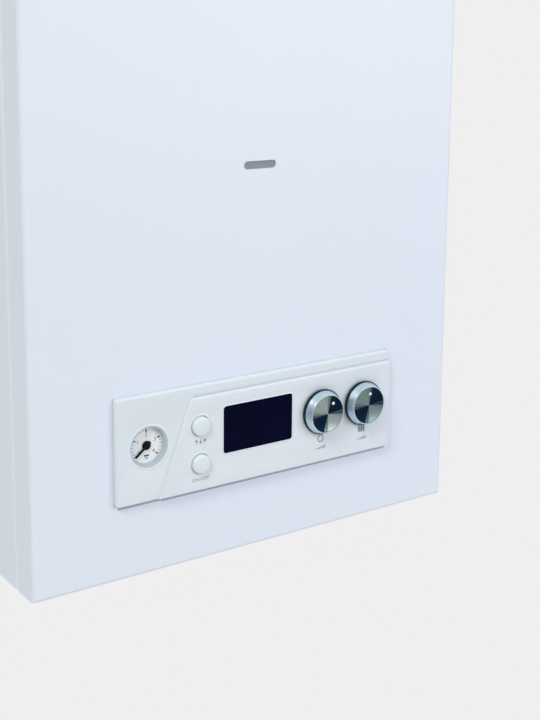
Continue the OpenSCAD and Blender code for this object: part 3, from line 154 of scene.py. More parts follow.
def make_piece(name, bm, materials, body, replaced=(), angle=35):
    """Turns a mesh under construction into a piece that rides on a body."""
    bmesh.ops.remove_doubles(bm, verts=bm.verts, dist=1e-6)
    bmesh.ops.recalc_face_normals(bm, faces=bm.faces)
    sharpen(bm, angle)
    mesh = bpy.data.meshes.new(name)
    bm.to_mesh(mesh)
    bm.free()
    for material in materials:
        mesh.materials.append(material)
    piece = bpy.data.objects.new(name, mesh)
    bpy.context.scene.collection.objects.link(piece)
    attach(piece, body)
    if replaced:
        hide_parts(*replaced)
    return piece


def ring_of_points(bm, centre, axis, radius, along, steps):
    """A ring of vertices, or one vertex where the radius is 0."""
    count = steps if radius > 0 else 1
    ring = []
    for i in range(count):
        turn = 2 * math.pi * i / steps
        a, b = radius * math.cos(turn), radius * math.sin(turn)
        spot = {"x": (along, a, b), "y": (a, along, b), "z": (a, b, along)}[axis]
        ring.append(bm.verts.new(Vector(spot) + Vector(centre)))
    return ring


def join_rings(bm, first, second, mark=0):
    """Faces between two rings of points, where either may be a single point."""
    steps = max(len(first), len(second))
    for i in range(steps):
        j = (i + 1) % steps
        corners = [first[i % len(first)], first[j % len(first)],
                   second[j % len(second)], second[i % len(second)]]
        corners = list(dict.fromkeys(corners))
        if len(corners) > 2:
            bm.faces.new(corners).material_index = mark


def turn_profile(bm, centre, axis, profile, steps=64, marks=(), mark=0):
    """Turns a profile of (radius, place along the axis) round an axis through the centre."""
    rings = [ring_of_points(bm, centre, axis, r, along, steps) for r, along in profile]
    for i in range(len(rings) - 1):
        join_rings(bm, rings[i], rings[i + 1], marks[i] if marks else mark)


def arc(centre, radius, start, stop, steps=5):
    """Points of an arc in a plane, from one angle to another in degrees."""
    angles = [math.radians(start + (stop - start) * i / steps) for i in range(steps + 1)]
    return [(centre[0] + radius * math.cos(a), centre[1] + radius * math.sin(a)) for a in angles]


def screw_head(bm, place, facing, radius, mark=0, steps=32):
    """A pan head with a cross recess, whose seat is at a place and which faces a direction."""
    normal = Vector(facing).normalized()
    across = normal.orthogonal().normalized()
    beside = normal.cross(across)
    rings = []
    for share in (0, 0.14, 0.28, 0.42, 0.52, 0.6, 0.75, 0.9, 1.0, 1.0):
        ring = []
        for i in range(steps if share else 1):
            turn = 2 * math.pi * i / steps
            a, b = share * math.cos(turn), share * math.sin(turn)
            narrow, wide = sorted((abs(a), abs(b)))
            height = 0.6 - 0.28 * share ** 2 - (0.3 if narrow < 0.16 and wide < 0.56 else 0)
            if len(rings) == 9:
                height = 0
            ring.append(bm.verts.new(place + radius * (across * a + beside * b + normal * height)))
        rings.append(ring)
    for i in range(len(rings) - 1):
        join_rings(bm, rings[i], rings[i + 1], mark)


dress(zinc_sheet, "back_plate")


def mottled(name, low, high, grain_mm, roughness, metallic=0.0, relief_mm=0.01, sockets=(),
            stretch=(1, 1, 1), detail=3.0):
    """A finish whose colour, gloss and relief change together over grains of one size."""
    material, tree, shader = new_finish(name, high, roughness, metallic, sockets)
    place = add_node(tree, "ShaderNodeTexCoord")
    along = add_node(tree, "ShaderNodeMapping", {"Vector": place.outputs["Object"],
                                                 "Scale": stretch})
    grain = add_node(tree, "ShaderNodeTexNoise", {"Vector": along.outputs["Vector"],
                                                  "Scale": 1 / (grain_mm * MM),
                                                  "Detail": detail})
    blend_colours(tree, shader, grain.outputs["Fac"], low, high)
    gloss = add_node(tree, "ShaderNodeMapRange", {"Value": grain.outputs["Fac"],
                                                  "To Min": roughness * 1.15,
                                                  "To Max": roughness * 0.85})
    tree.links.new(gloss.outputs["Result"], shader.inputs["Roughness"])
    raise_surface(tree, shader, grain.outputs["Fac"], relief_mm)
    return material


# The screws are zinc plated and clear passivated, which turns them faintly warm.
zinc_plate = mottled("zinc_plated_steel_clear_passivated", "b7b7ae", "d0d0c8", 2, 0.28, 1.0)
SCREW_R = 3.6 * MM
back_low, back_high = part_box("back_plate")
back_y = back_low.y + SHEET
weld_x = back_high.x - 8.8 * MM
WELD_FIRST, WELD_PITCH, WELD_COUNT = 60 * MM, 82 * MM, 8
weld = in_mm([(0, 0.05), (2.0, 0.05), (2.6, 0.3), (3.4, 0.3), (3.9, -0.1)])
BACK_SCREW_X = 150 * MM
BACK_SCREW_ROWS = (-600, -480, -390, -60)
bm = bmesh.new()
for side in (-1, 1):
    for i in range(WELD_COUNT):
        z = back_low.z + WELD_FIRST + WELD_PITCH * i
        turn_profile(bm, (side * weld_x, back_y, z), "y", weld, 24)
    for row in BACK_SCREW_ROWS:
        place = Vector((side * BACK_SCREW_X, back_y, row * MM))
        screw_head(bm, place, (0, 1, 0), SCREW_R, 1)
make_piece("back_plate_welds_and_screws", bm, [zinc_sheet, zinc_plate], "root")


# Side panels: steel sheet folded at the front and powder coated white with a cool tone.
# The baked powder keeps a fine orange peel, about 1.6 mm from dimple to dimple.
def powder_coat(name, colour, shade):
    material, tree, shader = new_finish(name, colour, 0.34, sockets={"IOR": 1.5})
    place = add_node(tree, "ShaderNodeTexCoord")
    drift = add_node(tree, "ShaderNodeTexNoise", {"Vector": place.outputs["Object"],
                                                  "Scale": 1 / (140 * MM), "Detail": 2.0})
    blend_colours(tree, shader, drift.outputs["Fac"], shade, colour)
    peel = add_node(tree, "ShaderNodeTexNoise", {"Vector": place.outputs["Object"],
                                                 "Scale": 1 / (1.6 * MM), "Detail": 1.0})
    gloss = add_node(tree, "ShaderNodeMapRange", {"Value": peel.outputs["Fac"],
                                                  "To Min": 0.32, "To Max": 0.37})
    tree.links.new(gloss.outputs["Result"], shader.inputs["Roughness"])
    raise_surface(tree, shader, peel.outputs["Fac"], 0.0015)
    return material


white_coat = powder_coat("powder_coated_steel_cool_white", "e3e9fa", "e0e7f7")
dress(white_coat, "left_side_panel", "right_side_panel")

# Top and bottom plates: galvanised sheet with folded fronts, spot-welded between the sides.
# The top one is screwed down at its edges. The bottom one has a moulded rubber seal round each
# pipe, black with a soft sheen.
dress(zinc_sheet, "top_plate", "bottom_plate")
epdm = mottled("moulded_epdm_rubber", "17181a", "242629", 0.5, 0.65)
TOP_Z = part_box("top_plate")[1].z
BOTTOM_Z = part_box("bottom_plate")[0].z
edge_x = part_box("top_plate")[1].x - 12.8 * MM
TOP_SCREW_ROWS = (-250, -150, -40)
bottom_screws = ((edge_x - 26 * MM, -262), (edge_x, -40))
bm = bmesh.new()
for side in (-1, 1):
    for y in TOP_SCREW_ROWS:
        screw_head(bm, Vector((side * edge_x, y * MM, TOP_Z)), (0, 0, 1), SCREW_R)
    for x, y in bottom_screws:
        screw_head(bm, Vector((side * x, y * MM, BOTTOM_Z)), (0, 0, -1), SCREW_R)
make_piece("casing_screws", bm, [zinc_plate], "root")

# The outer radius of each pipe that goes through the bottom plate, in millimetres.
PIPE_R = {"heating_flow_pipe": 11, "hot_water_pipe": 8.5, "gas_pipe": 11,
          "cold_water_pipe": 8.5, "heating_return_pipe": 11}
bm = bmesh.new()
for pipe, radius in PIPE_R.items():
    centre = middle(pipe)
    centre.z = BOTTOM_Z
    seal = [(radius + 0.1, -3.0), (radius + 1.2, -3.4), (radius + 2.2, -2.4)]
    seal += [(radius + 3.4, -1.2), (radius + 4.6, -1.0), (radius + 5.0, 0.1)]
    turn_profile(bm, centre, "z", in_mm(seal), 40)
make_piece("pipe_seals", bm, [epdm], "root")

# Expansion vessel: two steel shells pressed deep, crimped together and painted signal red.
# Thick gloss paint flows out smooth, with a slow waviness of about 9 mm.
red_paint = mottled("gloss_paint_signal_red", "8e1712", "a81f17", 9, 0.25)
dress(red_paint, "expansion_vessel")

# Sealed chamber: aluminised steel sheets welded into a box that is open to the front.
# The coating is smoother than zinc, satin, with faint rolling lines along the sheet.
aluminised = mottled("aluminised_sheet_steel", "a3a8aa", "bfc3c4", 3, 0.36, 1.0, 0.008,
                     stretch=(1, 1, 0.05))
dress(aluminised, "chamber_box", "chamber_cover")


def islands(node):
    """The lowest and highest corner of each loose part of a node."""
    bm = bmesh.new()
    bm.from_mesh(nodes[node].data)
    bmesh.ops.remove_doubles(bm, verts=bm.verts, dist=1e-6)
    left = set(bm.verts)
    found = []
    while left:
        stack = [left.pop()]
        spots = []
        while stack:
            point = stack.pop()
            spots.append(point.co.copy())
            for edge in point.link_edges:
                other = edge.other_vert(point)
                if other in left:
                    left.remove(other)
                    stack.append(other)
        found.append((Vector(map(min, zip(*spots))), Vector(map(max, zip(*spots)))))
    bm.free()
    return found


# Chamber lid: its screws have a washer face and a cross recess, one every 60 mm or so.
# A braided glass-fibre cord seals the lid and shows as a matt white line at its edge.
glass_cord = mottled("braided_glass_fibre_cord", "cfcfc9", "e9e9e3", 1.2, 0.9, relief_mm=0.2)
LID_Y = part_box("chamber_box")[0].y
washer = in_mm([(5.6, 0), (5.6, -0.7), (0, -0.9)])
bm = bmesh.new()
for low, high in islands("chamber_screws"):
    place = Vector(((low.x + high.x) / 2, low.y + 3 * MM, (low.z + high.z) / 2))
    turn_profile(bm, place, "y", washer, 32)
    screw_head(bm, place - mm(0, 0.7, 0), (0, -1, 0), 4.0 * MM)
make_piece("chamber_screw_heads", bm, [zinc_plate], "root", ["chamber_screws"])


def sweep(bm, points, radius, steps=10, mark=0, pieces=6, flat=1.0):
    """A round or oval rod along a smooth line through the points, closed at both ends."""
    guide = [points[0]] + list(points) + [points[-1]]
    line = []
    for i in range(1, len(guide) - 2):
        p0, p1, p2, p3 = guide[i - 1:i + 3]
        leave = (p2 - p0).normalized() * (p2 - p1).length
        arrive = (p3 - p1).normalized() * (p2 - p1).length
        for k in range(pieces):
            t = k / pieces
            line.append(p1 * (2 * t ** 3 - 3 * t ** 2 + 1) + leave * (t ** 3 - 2 * t ** 2 + t)
                        + p2 * (3 * t ** 2 - 2 * t ** 3) + arrive * (t ** 3 - t ** 2))
    line.append(Vector(points[-1]))
    side = (line[1] - line[0]).orthogonal().normalized()
    rings = [[bm.verts.new(line[0])]]
    for i, spot in enumerate(line):
        along = (line[min(i + 1, len(line) - 1)] - line[max(i - 1, 0)]).normalized()
        side = (side - along * side.dot(along)).normalized()
        up = along.cross(side)
        turns = [2 * math.pi * k / steps for k in range(steps)]
        rings.append([bm.verts.new(spot + radius * (side * math.cos(a) + up * flat * math.sin(a)))
                      for a in turns])
    rings.append([bm.verts.new(line[-1])])
    for first, second in zip(rings, rings[1:]):
        join_rings(bm, first, second, mark)


def loop_of(half_w, half_h, radius, y, z_mid, steps=4):
    """Points of an upright rectangle with round corners, closed on its first point."""
    spots = []
    for sx, sz, start in ((1, 1, 0), (-1, 1, 90), (-1, -1, 180), (1, -1, 270)):
        centre = (sx * (half_w - radius), z_mid + sz * (half_h - radius))
        spots += [Vector((x, y, z)) for x, z in arc(centre, radius, start, start + 90, steps)]
    return spots + spots[:1]


lid_low, lid_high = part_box("chamber_cover")
CORD_R, CORD_INSET, CORD_CORNER = 1.2 * MM, 1 * MM, 6 * MM
cord = loop_of(lid_high.x - CORD_INSET, (lid_high.z - lid_low.z) / 2 - CORD_INSET, CORD_CORNER,
               LID_Y - 0.2 * MM, (lid_high.z + lid_low.z) / 2)
bm = bmesh.new()
sweep(bm, cord, CORD_R, 8, pieces=1)
make_piece("chamber_lid_cord", bm, [glass_cord], "root")

# Air pressure switch: a two-part body moulded in ivory polyamide, with two silicone tubes.
# The tubes are extruded, milky and slightly translucent.
ivory_polyamide = mottled("moulded_polyamide_ivory", "cfc7b0", "ded7c3", 0.8, 0.5)
silicone = mottled("extruded_silicone_milky", "cfcfc8", "e2e2dc", 5, 0.42,
                   sockets={"Subsurface Weight": 0.2, "Subsurface Scale": 0.002})
dress(ivory_polyamide, "air_pressure_switch")
dress(silicone, "pressure_tubes")


# Burner: thirteen bars folded from stainless sheet and spot-welded to two rails.
# Flame heat tints the upper part of the bars from straw to blue.
def heat_tinted_steel(name, cold, straw, blue, z_cold, z_hot):
    material, tree, shader = new_finish(name, cold, 0.33, 1.0)
    place = add_node(tree, "ShaderNodeTexCoord")
    axes = add_node(tree, "ShaderNodeSeparateXYZ", {"Vector": place.outputs["Object"]})
    rise = add_node(tree, "ShaderNodeMapRange", {"Value": axes.outputs["Z"], "From Min": z_cold,
                                                 "From Max": z_hot})
    cloud = add_node(tree, "ShaderNodeTexNoise", {"Vector": place.outputs["Object"],
                                                  "Scale": 1 / (14 * MM), "Detail": 3.0})
    spread = add_node(tree, "ShaderNodeMath", {0: cloud.outputs["Fac"], 1: 0.35},
                      operation="MULTIPLY")
    heat = add_node(tree, "ShaderNodeMath", {0: rise.outputs["Result"],
                                             1: spread.outputs["Value"]}, operation="ADD")
    tint = add_node(tree, "ShaderNodeValToRGB", {"Fac": heat.outputs["Value"]})
    tint.color_ramp.elements[0].position = 0.35
    tint.color_ramp.elements[0].color = linear(cold)
    tint.color_ramp.elements[1].position = 1.0
    tint.color_ramp.elements[1].color = linear(blue)
    straw_stop = tint.color_ramp.elements.new(0.72)
    straw_stop.color = linear(straw)
    tree.links.new(tint.outputs["Color"], shader.inputs["Base Color"])
    raise_surface(tree, shader, cloud.outputs["Fac"], 0.01)
    return material


bars_low, bars_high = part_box("burner")
bar_steel = heat_tinted_steel("folded_stainless_steel_heat_tinted", "b5b2aa", "b8935c", "5d6a86",
                              bars_low.z, bars_high.z)
dress(bar_steel, "burner")

# Gas manifold: a brass tube with one injector per bar, soldered and left bright.
# Turned and bead-blasted brass dulls to a soft yellow with darker patches.
brass = mottled("machined_brass", "a3803f", "c7a35b", 6, 0.33, 1.0, 0.01)
dress(brass, "gas_manifold")

# Firebox: four boards of pressed ceramic fibre inside a thin steel frame.
# The board is matt, chalky and slightly fibrous, with fibres about 1.5 mm long.
fibre_board = mottled("pressed_ceramic_fibre_board", "c9bfa8", "ded6c2", 1.5, 0.95,
                      relief_mm=0.15, stretch=(0.4, 1, 1))
dress(fibre_board, "firebox")


# Heat exchanger: copper fins on flat water tubes with a soldered header at each end.
# Copper that has been hot turns from bright salmon to brown in cloudy patches.
def worked_copper(name, fresh, aged, patch_mm):
    material, tree, shader = new_finish(name, fresh, 0.34, 1.0)
    place = add_node(tree, "ShaderNodeTexCoord")
    patches = add_node(tree, "ShaderNodeTexNoise", {"Vector": place.outputs["Object"],
                                                    "Scale": 1 / (patch_mm * MM),
                                                    "Detail": 5.0, "Roughness": 0.6})
    sharp = add_node(tree, "ShaderNodeMapRange", {"Value": patches.outputs["Fac"],
                                                  "From Min": 0.35, "From Max": 0.68})
    blend_colours(tree, shader, sharp.outputs["Result"], fresh, aged)
    gloss = add_node(tree, "ShaderNodeMapRange", {"Value": sharp.outputs["Result"],
                                                  "To Min": 0.26, "To Max": 0.46})
    tree.links.new(gloss.outputs["Result"], shader.inputs["Roughness"])
    raise_surface(tree, shader, patches.outputs["Fac"], 0.01)
    return material


drawn_copper = worked_copper("drawn_copper_tube", "d08a68", "a9644a", 22)
fin_copper = worked_copper("copper_fins_heat_aged", "b87452", "87492f", 16)
dress(fin_copper, "heat_exchanger")

# Flue hood and fan scroll: aluminised sheet, folded, seamed and crimped.
# Both are cut from the same sheet as the chamber, so they share its satin rolling lines.
dress(aluminised, "flue_hood", "fan_housing")

# Fan wheel: pressed aluminium with forward-curved blades, on a steel shaft.
# Pressed aluminium keeps a satin skin with fine drawing lines.
satin_aluminium = mottled("pressed_aluminium_satin", "a9adb0", "c8cccf", 2, 0.36, 1.0, 0.005,
                          stretch=(1, 0.1, 1))
dress(satin_aluminium, "fan_wheel")

# Fan motor: a shaded-pole motor in a can, bolted to the front of the scroll.
# Its black stoved paint is half matt, with a fine grain.
black_paint = mottled("stoved_paint_black", "101112", "1b1c1e", 1.2, 0.45, relief_mm=0.02)
dress(black_paint, "fan_motor")

# Flue spigot and fresh air collar: drawn aluminium inside, glossy white enamelled steel outside.
# A rubber lip seals the inner pipe, a flat gasket lies under the flange and four screws hold it.
white_enamel = mottled("stoved_enamel_white", "dfe4e8", "e9edf0", 30, 0.22)
dress(satin_aluminium, "flue_spigot")
dress(white_enamel, "air_collar")
flue = middle("air_collar")
spigot_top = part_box("flue_spigot")[1].z
FLANGE_T = 2 * MM
FLANGE_SCREW_R = 61 * MM
bm = bmesh.new()
lip = [(29.9, -12), (28.6, -9), (28.9, -7), (29.9, -6), (30.2, -1), (31.6, 0.0), (31.7, -2)]
turn_profile(bm, (flue.x, flue.y, spigot_top), "z", in_mm(lip), 72)
gasket = [(50.3, 0), (50.3, 0.8), (70.0, 0.8), (70.4, 0.4), (70.4, 0)]
turn_profile(bm, (flue.x, flue.y, TOP_Z), "z", in_mm(gasket), 96)
make_piece("flue_seals", bm, [epdm], "root")
washer = in_mm([(5.2, 0), (5.2, 0.6), (0, 0.7)])
bm = bmesh.new()
for x, y in arc((flue.x, flue.y), FLANGE_SCREW_R, 45, 315, 3):
    place = Vector((x, y, TOP_Z + FLANGE_T))
    turn_profile(bm, place, "z", washer, 32)
    screw_head(bm, place + mm(0, 0, 0.6), (0, 0, 1), 3.8 * MM)
make_piece("collar_screws", bm, [zinc_plate], "root")

# Test points: two plugged sockets on the top for a flue gas probe, and a blanked second inlet.
# The plugs are moulded polyamide, black and half matt. The blank is a zinc plate held by three
# screws.
black_polyamide = mottled("moulded_polyamide_black", "121314", "1d1e20", 0.6, 0.5)
plug = in_mm([(0, 7), (3.4, 7), (4.0, 6.4), (4.0, 3.2), (6.2, 3.0), (6.6, 2.4), (6.6, 0)])
SOCKET_X, SOCKET_Y = (-92 * MM, -116 * MM), -128 * MM
bm = bmesh.new()
for x in SOCKET_X:
    turn_profile(bm, (x, SOCKET_Y, TOP_Z), "z", plug, 32)
make_piece("flue_probe_plugs", bm, [black_polyamide], "root")
blank_x, blank_y = 118 * MM, -180 * MM
BLANK_T, BLANK_SCREW_R = 0.8 * MM, 37.5 * MM
disc = [(0, 1.6), (30, 1.6), (32, 1.2), (33, 0.8), (42, 0.8), (42.4, 0.4), (42.4, 0)]
bm = bmesh.new()
turn_profile(bm, (blank_x, blank_y, TOP_Z), "z", in_mm(disc), 96)
for x, y in arc((blank_x, blank_y), BLANK_SCREW_R, 90, 330, 2):
    screw_head(bm, Vector((x, y, TOP_Z + BLANK_T)), (0, 0, 1), SCREW_R, 1)
make_piece("inlet_blank", bm, [zinc_sheet, zinc_plate], "root")

# Chamber window: heatproof glass in the middle of the lid, over the flame slot's height.
# A pressed ring with two screws clamps the pane, which is smoky and mirror smooth.
heatproof_glass = mottled("heatproof_glass_smoky", "4d585e", "5f6a70", 20, 0.06, relief_mm=0.0,
                          sockets={"Transmission Weight": 0.35, "IOR": 1.47})
dress(heatproof_glass, "chamber_window")
pane = middle("chamber_window")
pane.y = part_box("chamber_window")[0].y
ring = [(11.6, 0.4), (12.0, -0.5), (13.0, -0.9), (17.0, -0.9), (18.0, -0.5), (18.4, 1.3)]
bm = bmesh.new()
turn_profile(bm, pane, "y", in_mm(ring), 64)
for side in (-1, 1):
    screw_head(bm, pane + mm(side * 22, 1.4, 0), (0, -1, 0), 3.4 * MM, 1)
make_piece("chamber_window_ring", bm, [satin_aluminium, zinc_plate], "root")

# Circulation pump: a cast iron volute in dark green-grey paint, with a wet-rotor motor.
# The casting skin shows through the paint as 2 mm grains. The motor's paint is finer, the rotor
# is matt grey composite, and the screws are turned stainless steel with a clear shine.
painted_iron = mottled("painted_cast_iron", "1d2426", "2c3538", 2, 0.55, relief_mm=0.12)
motor_paint = mottled("die_cast_aluminium_painted_anthracite", "24272a", "33373b", 1.4, 0.4,
                      relief_mm=0.03)
grey_composite = mottled("moulded_composite_grey", "8f9190", "a4a6a4", 0.7, 0.5)
stainless = mottled("turned_stainless_steel", "b3b5b5", "cfd1d1", 1.5, 0.24, 1.0, 0.004)
dress(painted_iron, "pump_body")
dress(motor_paint, "pump_motor")
dress(grey_composite, "pump_rotor")
dress(brass, "air_vent")
motor_low, motor_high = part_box("pump_motor")
pump = middle("pump_rotor")


def block(bm, low, high, edge=0.0, mark=0):
    """A box with rounded edges between two corners."""
    made = bmesh.ops.create_cube(bm, size=1.0)["verts"]
    for point in made:
        for i in range(3):
            point.co[i] = high[i] if point.co[i] > 0 else low[i]
    faces = {face for point in made for face in point.link_faces}
    for face in faces:
        face.material_index = mark
    if edge:
        edges = {e for point in made for e in point.link_edges}
        bmesh.ops.bevel(bm, geom=list(edges), offset=edge, segments=2, profile=0.5,
                        affect="EDGES", clamp_overlap=True, material=-1)


# The terminal box sits on top of the motor, so there are no ribs under it.
RIB_STEP, RIB_R = 15, 40.5 * MM
bm = bmesh.new()
for degrees in range(0, 360, RIB_STEP):
    if 45 < degrees < 135:
        continue
    turn = math.radians(degrees)
    x, z = pump.x + RIB_R * math.cos(turn), pump.z + RIB_R * math.sin(turn)
    rib = [Vector((x, motor_high.y - 10 * MM, z)), Vector((x, motor_low.y + 8 * MM, z))]
    sweep(bm, rib, 1.5 * MM, 6, pieces=1)
make_piece("pump_motor_ribs", bm, [motor_paint], "root")
cap = [(0, -4.8), (5.6, -4.8), (6.4, -4.2), (6.4, -1.2), (10.5, -0.8), (10.5, 1.0)]
bm = bmesh.new()
turn_profile(bm, (pump.x, motor_low.y + 4.4 * MM, pump.z), "y", in_mm(cap), 48)
for circle_mm, y, head_mm in ((33, motor_low.y + 4 * MM, 3.2), (41, motor_high.y - 6 * MM, 4.0)):
    for x, z in arc((pump.x, pump.z), circle_mm * MM, 45, 315, 3):
        screw_head(bm, Vector((x, y, z)), (0, -1, 0), head_mm * MM)
make_piece("pump_vent_screw_and_bolts", bm, [stainless], "root")

# Copper pipes: drawn copper tube bent cold, running up both sides of the chamber.
# The tube is salmon where it is fresh and browner in patches about 22 mm wide.
dress(drawn_copper, "copper_pipes")

# Plate heat exchanger: twelve stainless plates pressed and brazed together with copper.
# A little brazing copper shows along the plate edges, so the steel looks faintly warm.
brazed_plates = mottled("stainless_plates_brazed", "a39a8f", "c4c2bd", 5, 0.28, 1.0, 0.02,
                        stretch=(1, 6, 1))
dress(brazed_plates, "plate_heat_exchanger")

# Manifold blocks: hot-stamped brass, with machined ports held by spring clips.
# The stamped skin is matt and grainy beside the bright ports. The clips are bent from drawn
# spring wire, smooth and shiny.
stamped_brass = mottled("hot_stamped_brass", "95733a", "b8924e", 2.5, 0.48, 1.0, 0.06)
dress(stamped_brass, "return_block", "flow_block")
dress(brass, "safety_valve")
spring_wire = mottled("drawn_spring_steel_wire", "b4b8ba", "d2d5d6", 1, 0.22, 1.0, 0.003)
CLIP_WIRE_R = 1.0 * MM
PORT_CLIP_Z, PORT_CLIP_GAP = -606, 4.5
PUMP_CLIP_Z, PUMP_CLIP_R = -572, 14.0
pipe_y = middle("gas_pipe").y / MM
clips = [(middle(pipe), PORT_CLIP_Z, radius + PORT_CLIP_GAP)
         for pipe, radius in PIPE_R.items() if pipe != "gas_pipe"]
clips.append((pump, PUMP_CLIP_Z, PUMP_CLIP_R))
bm = bmesh.new()
for port, z, radius in clips:
    x = port.x / MM
    end_out, end_y = radius * 0.55, pipe_y + radius * 1.5
    left_end = [mm(x - end_out, end_y, z)]
    right_end = [mm(x + end_out, end_y, z)]
    bend = [mm(a, b, z) for a, b in arc((x, pipe_y), radius, 150, 390, 12)]
    sweep(bm, left_end + bend + right_end, CLIP_WIRE_R, 8, pieces=3)
make_piece("spring_clips", bm, [spring_wire], "root")

# Diverter: a snap-on motor in black polyamide over a turned stainless stem.
# The motor's cap is half matt, and the stem has a clear shine.
dress(black_polyamide, "diverter_motor")
dress(stainless, "diverter_stem")

# Safety valve cap: moulded in red polyamide and ribbed for the fingers.
# The colour is solid and dull, with a faint grain from the mould.
red_polyamide = mottled("moulded_polyamide_red", "8f1a14", "a8221a", 0.6, 0.42)
dress(red_polyamide, "safety_valve_knob")

# Gas valve: die-cast aluminium with two solenoid coils, test nipples and cover screws.
# The casting is grey, matt and slightly cloudy. The coils are wound under a black moulded sleeve.
die_cast = mottled("die_cast_aluminium", "8e9295", "aeb2b5", 2.2, 0.46, 1.0, 0.05)
dress(die_cast, "gas_valve")
valve_x = middle("gas_valve").x / MM
valve_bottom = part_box("gas_valve")[0].z / MM
COIL_FRONT, COIL_BACK, COIL_HALF_W, COIL_HALF_H = -176, -158, 14, 9.5
VALVE_FACE, SCREW_OUT = -155, 17.5
coil_rows = (valve_bottom + 12, valve_bottom + 35)
screw_rows = (valve_bottom + 6, valve_bottom + 41)
nipple_z = valve_bottom + 24
coil_end = in_mm([(8.6, 0), (8.6, -5), (7.4, -6), (0, -6)])
bm = bmesh.new()
for z in coil_rows:
    block(bm, mm(valve_x - COIL_HALF_W, COIL_FRONT, z - COIL_HALF_H),
          mm(valve_x + COIL_HALF_W, COIL_BACK, z + COIL_HALF_H), 1.5 * MM)
    turn_profile(bm, mm(valve_x, COIL_FRONT, z), "y", coil_end, 32)
make_piece("gas_valve_coils", bm, [black_polyamide], "root")
nipple = in_mm([(0, -9), (1.6, -9), (2.6, -8), (2.6, -5), (2.0, -4), (3.6, -3.6), (3.6, 0)])
bm = bmesh.new()
for x in (valve_x - SCREW_OUT, valve_x + SCREW_OUT):
    for z in screw_rows:
        screw_head(bm, mm(x, VALVE_FACE, z), (0, -1, 0), 3.0 * MM)
    turn_profile(bm, mm(x, VALVE_FACE, nipple_z), "y", nipple, 24, mark=1)
make_piece("gas_valve_screws", bm, [zinc_plate, brass], "root")


# Connection pipes: copper tails with a brass thread at the lower end for the union nut.
# The pipe thread has 14 turns to the inch, cut 1.16 mm deep, and fades at both ends.
THREAD_PITCH = 1.814 * MM
THREAD_DEPTH = 1.16 * MM
PIPE_WALL = 2 * MM


def thread_radius(turn, height, length, crest):
    """Radius of a thread at a height up its length and at a share of a turn."""
    phase = (height / THREAD_PITCH - turn) % 1.0
    fade = min(1.0, height / THREAD_PITCH, (length - height) / THREAD_PITCH)
    return crest - THREAD_DEPTH * (1 - fade * (1 - abs(2 * phase - 1)))


def connection_pipe(node, thread_length, steps=48, rows_per_turn=8):
    """A pipe tail whose lower end carries a real thread, in the place of its plain solid."""
    low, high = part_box(node)
    centre = middle(node)
    centre.z = 0
    crest = (high.x - low.x) / 2
    outer = PIPE_R[node] * MM
    bore = outer - PIPE_WALL
    bm = bmesh.new()
    rows = int(thread_length / THREAD_PITCH * rows_per_turn)
    rings = [ring_of_points(bm, centre, "z", bore, low.z, steps)]
    for row in range(rows + 1):
        height = thread_length * row / rows
        ring = ring_of_points(bm, centre, "z", crest, low.z + height, steps)
        for i, point in enumerate(ring):
            share = thread_radius(i / steps, height, thread_length, crest) / crest
            point.co.x = centre.x + (point.co.x - centre.x) * share
            point.co.y = centre.y + (point.co.y - centre.y) * share
        rings.append(ring)
    marks = [1] * (rows + 2)
    for radius, height in ((outer, low.z + thread_length), (outer, high.z), (bore, high.z)):
        rings.append(ring_of_points(bm, centre, "z", radius, height, steps))
        marks.append(0)
    rings.append(rings[0])
    marks.append(0)
    for i in range(len(rings) - 1):
        join_rings(bm, rings[i], rings[i + 1], marks[i])
    make_piece(node + "_threaded", bm, [drawn_copper, brass], "root", [node])


for pipe in PIPE_R:
    connection_pipe(pipe, 14 * MM)

# Union nuts: turned from hexagon bar brass, with chamfered corners.
# The brass is bright, because the faces come straight from the tool.
dress(brass, "pipe_nuts")

# Filling tap knob and cable gland below the casing: black polyamide, moulded.
# Both screw into their places, and the mould leaves a half matt grain.
dress(black_polyamide, "filling_tap_knob", "cable_gland")

# Ignition unit: a potted transformer in a black box under the chamber, with two silicone leads.
# The leads enter the chamber through glazed ceramic bushes beside the burner, ivory and glossy.
ceramic = mottled("glazed_steatite", "dcd8cc", "ece8de", 3, 0.25)
floor_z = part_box("chamber_box")[0].z / MM
UNIT_X, UNIT_Y = -70, -141
UNIT_HALF_W, UNIT_HALF_D, UNIT_H = 26, 19, 35
EAR_HALF_W, EAR_HALF_D = 32, 9
unit_bottom = floor_z - 1 - UNIT_H
unit_sockets = [(UNIT_X + side * 14, UNIT_Y) for side in (-1, 1)]
socket = in_mm([(4.6, 0), (4.2, -9), (0, -9)])
bm = bmesh.new()
block(bm, mm(UNIT_X - UNIT_HALF_W, UNIT_Y - UNIT_HALF_D, unit_bottom),
      mm(UNIT_X + UNIT_HALF_W, UNIT_Y + UNIT_HALF_D, floor_z - 1), 2.5 * MM)
block(bm, mm(UNIT_X - EAR_HALF_W, UNIT_Y - EAR_HALF_D, floor_z - 3.5),
      mm(UNIT_X + EAR_HALF_W, UNIT_Y + EAR_HALF_D, floor_z - 0.5), 0.8 * MM)
for x, y in unit_sockets:
    turn_profile(bm, mm(x, y, unit_bottom), "z", socket, 24)
make_piece("ignition_unit", bm, [black_polyamide], "root")
BUSH_X, BUSH_Y = 28, -246
bush = in_mm([(0, -14), (2.4, -14), (3.2, -12), (4.2, -6), (6.0, -5), (6.0, 0)])
bm = bmesh.new()
for x in (-BUSH_X, BUSH_X):
    turn_profile(bm, mm(x, BUSH_Y, floor_z), "z", bush, 24)
make_piece("electrode_bushes", bm, [ceramic], "root")


# Wiring: insulated leads in their own colours, run in a loom down the left side.
# PVC and silicone insulation is extruded, with a soft sheen; sleeves and ties are polyamide.
def lead_insulation(name, low, high, roughness=0.4):
    return mottled(name, low, high, 4, roughness, relief_mm=0.005)


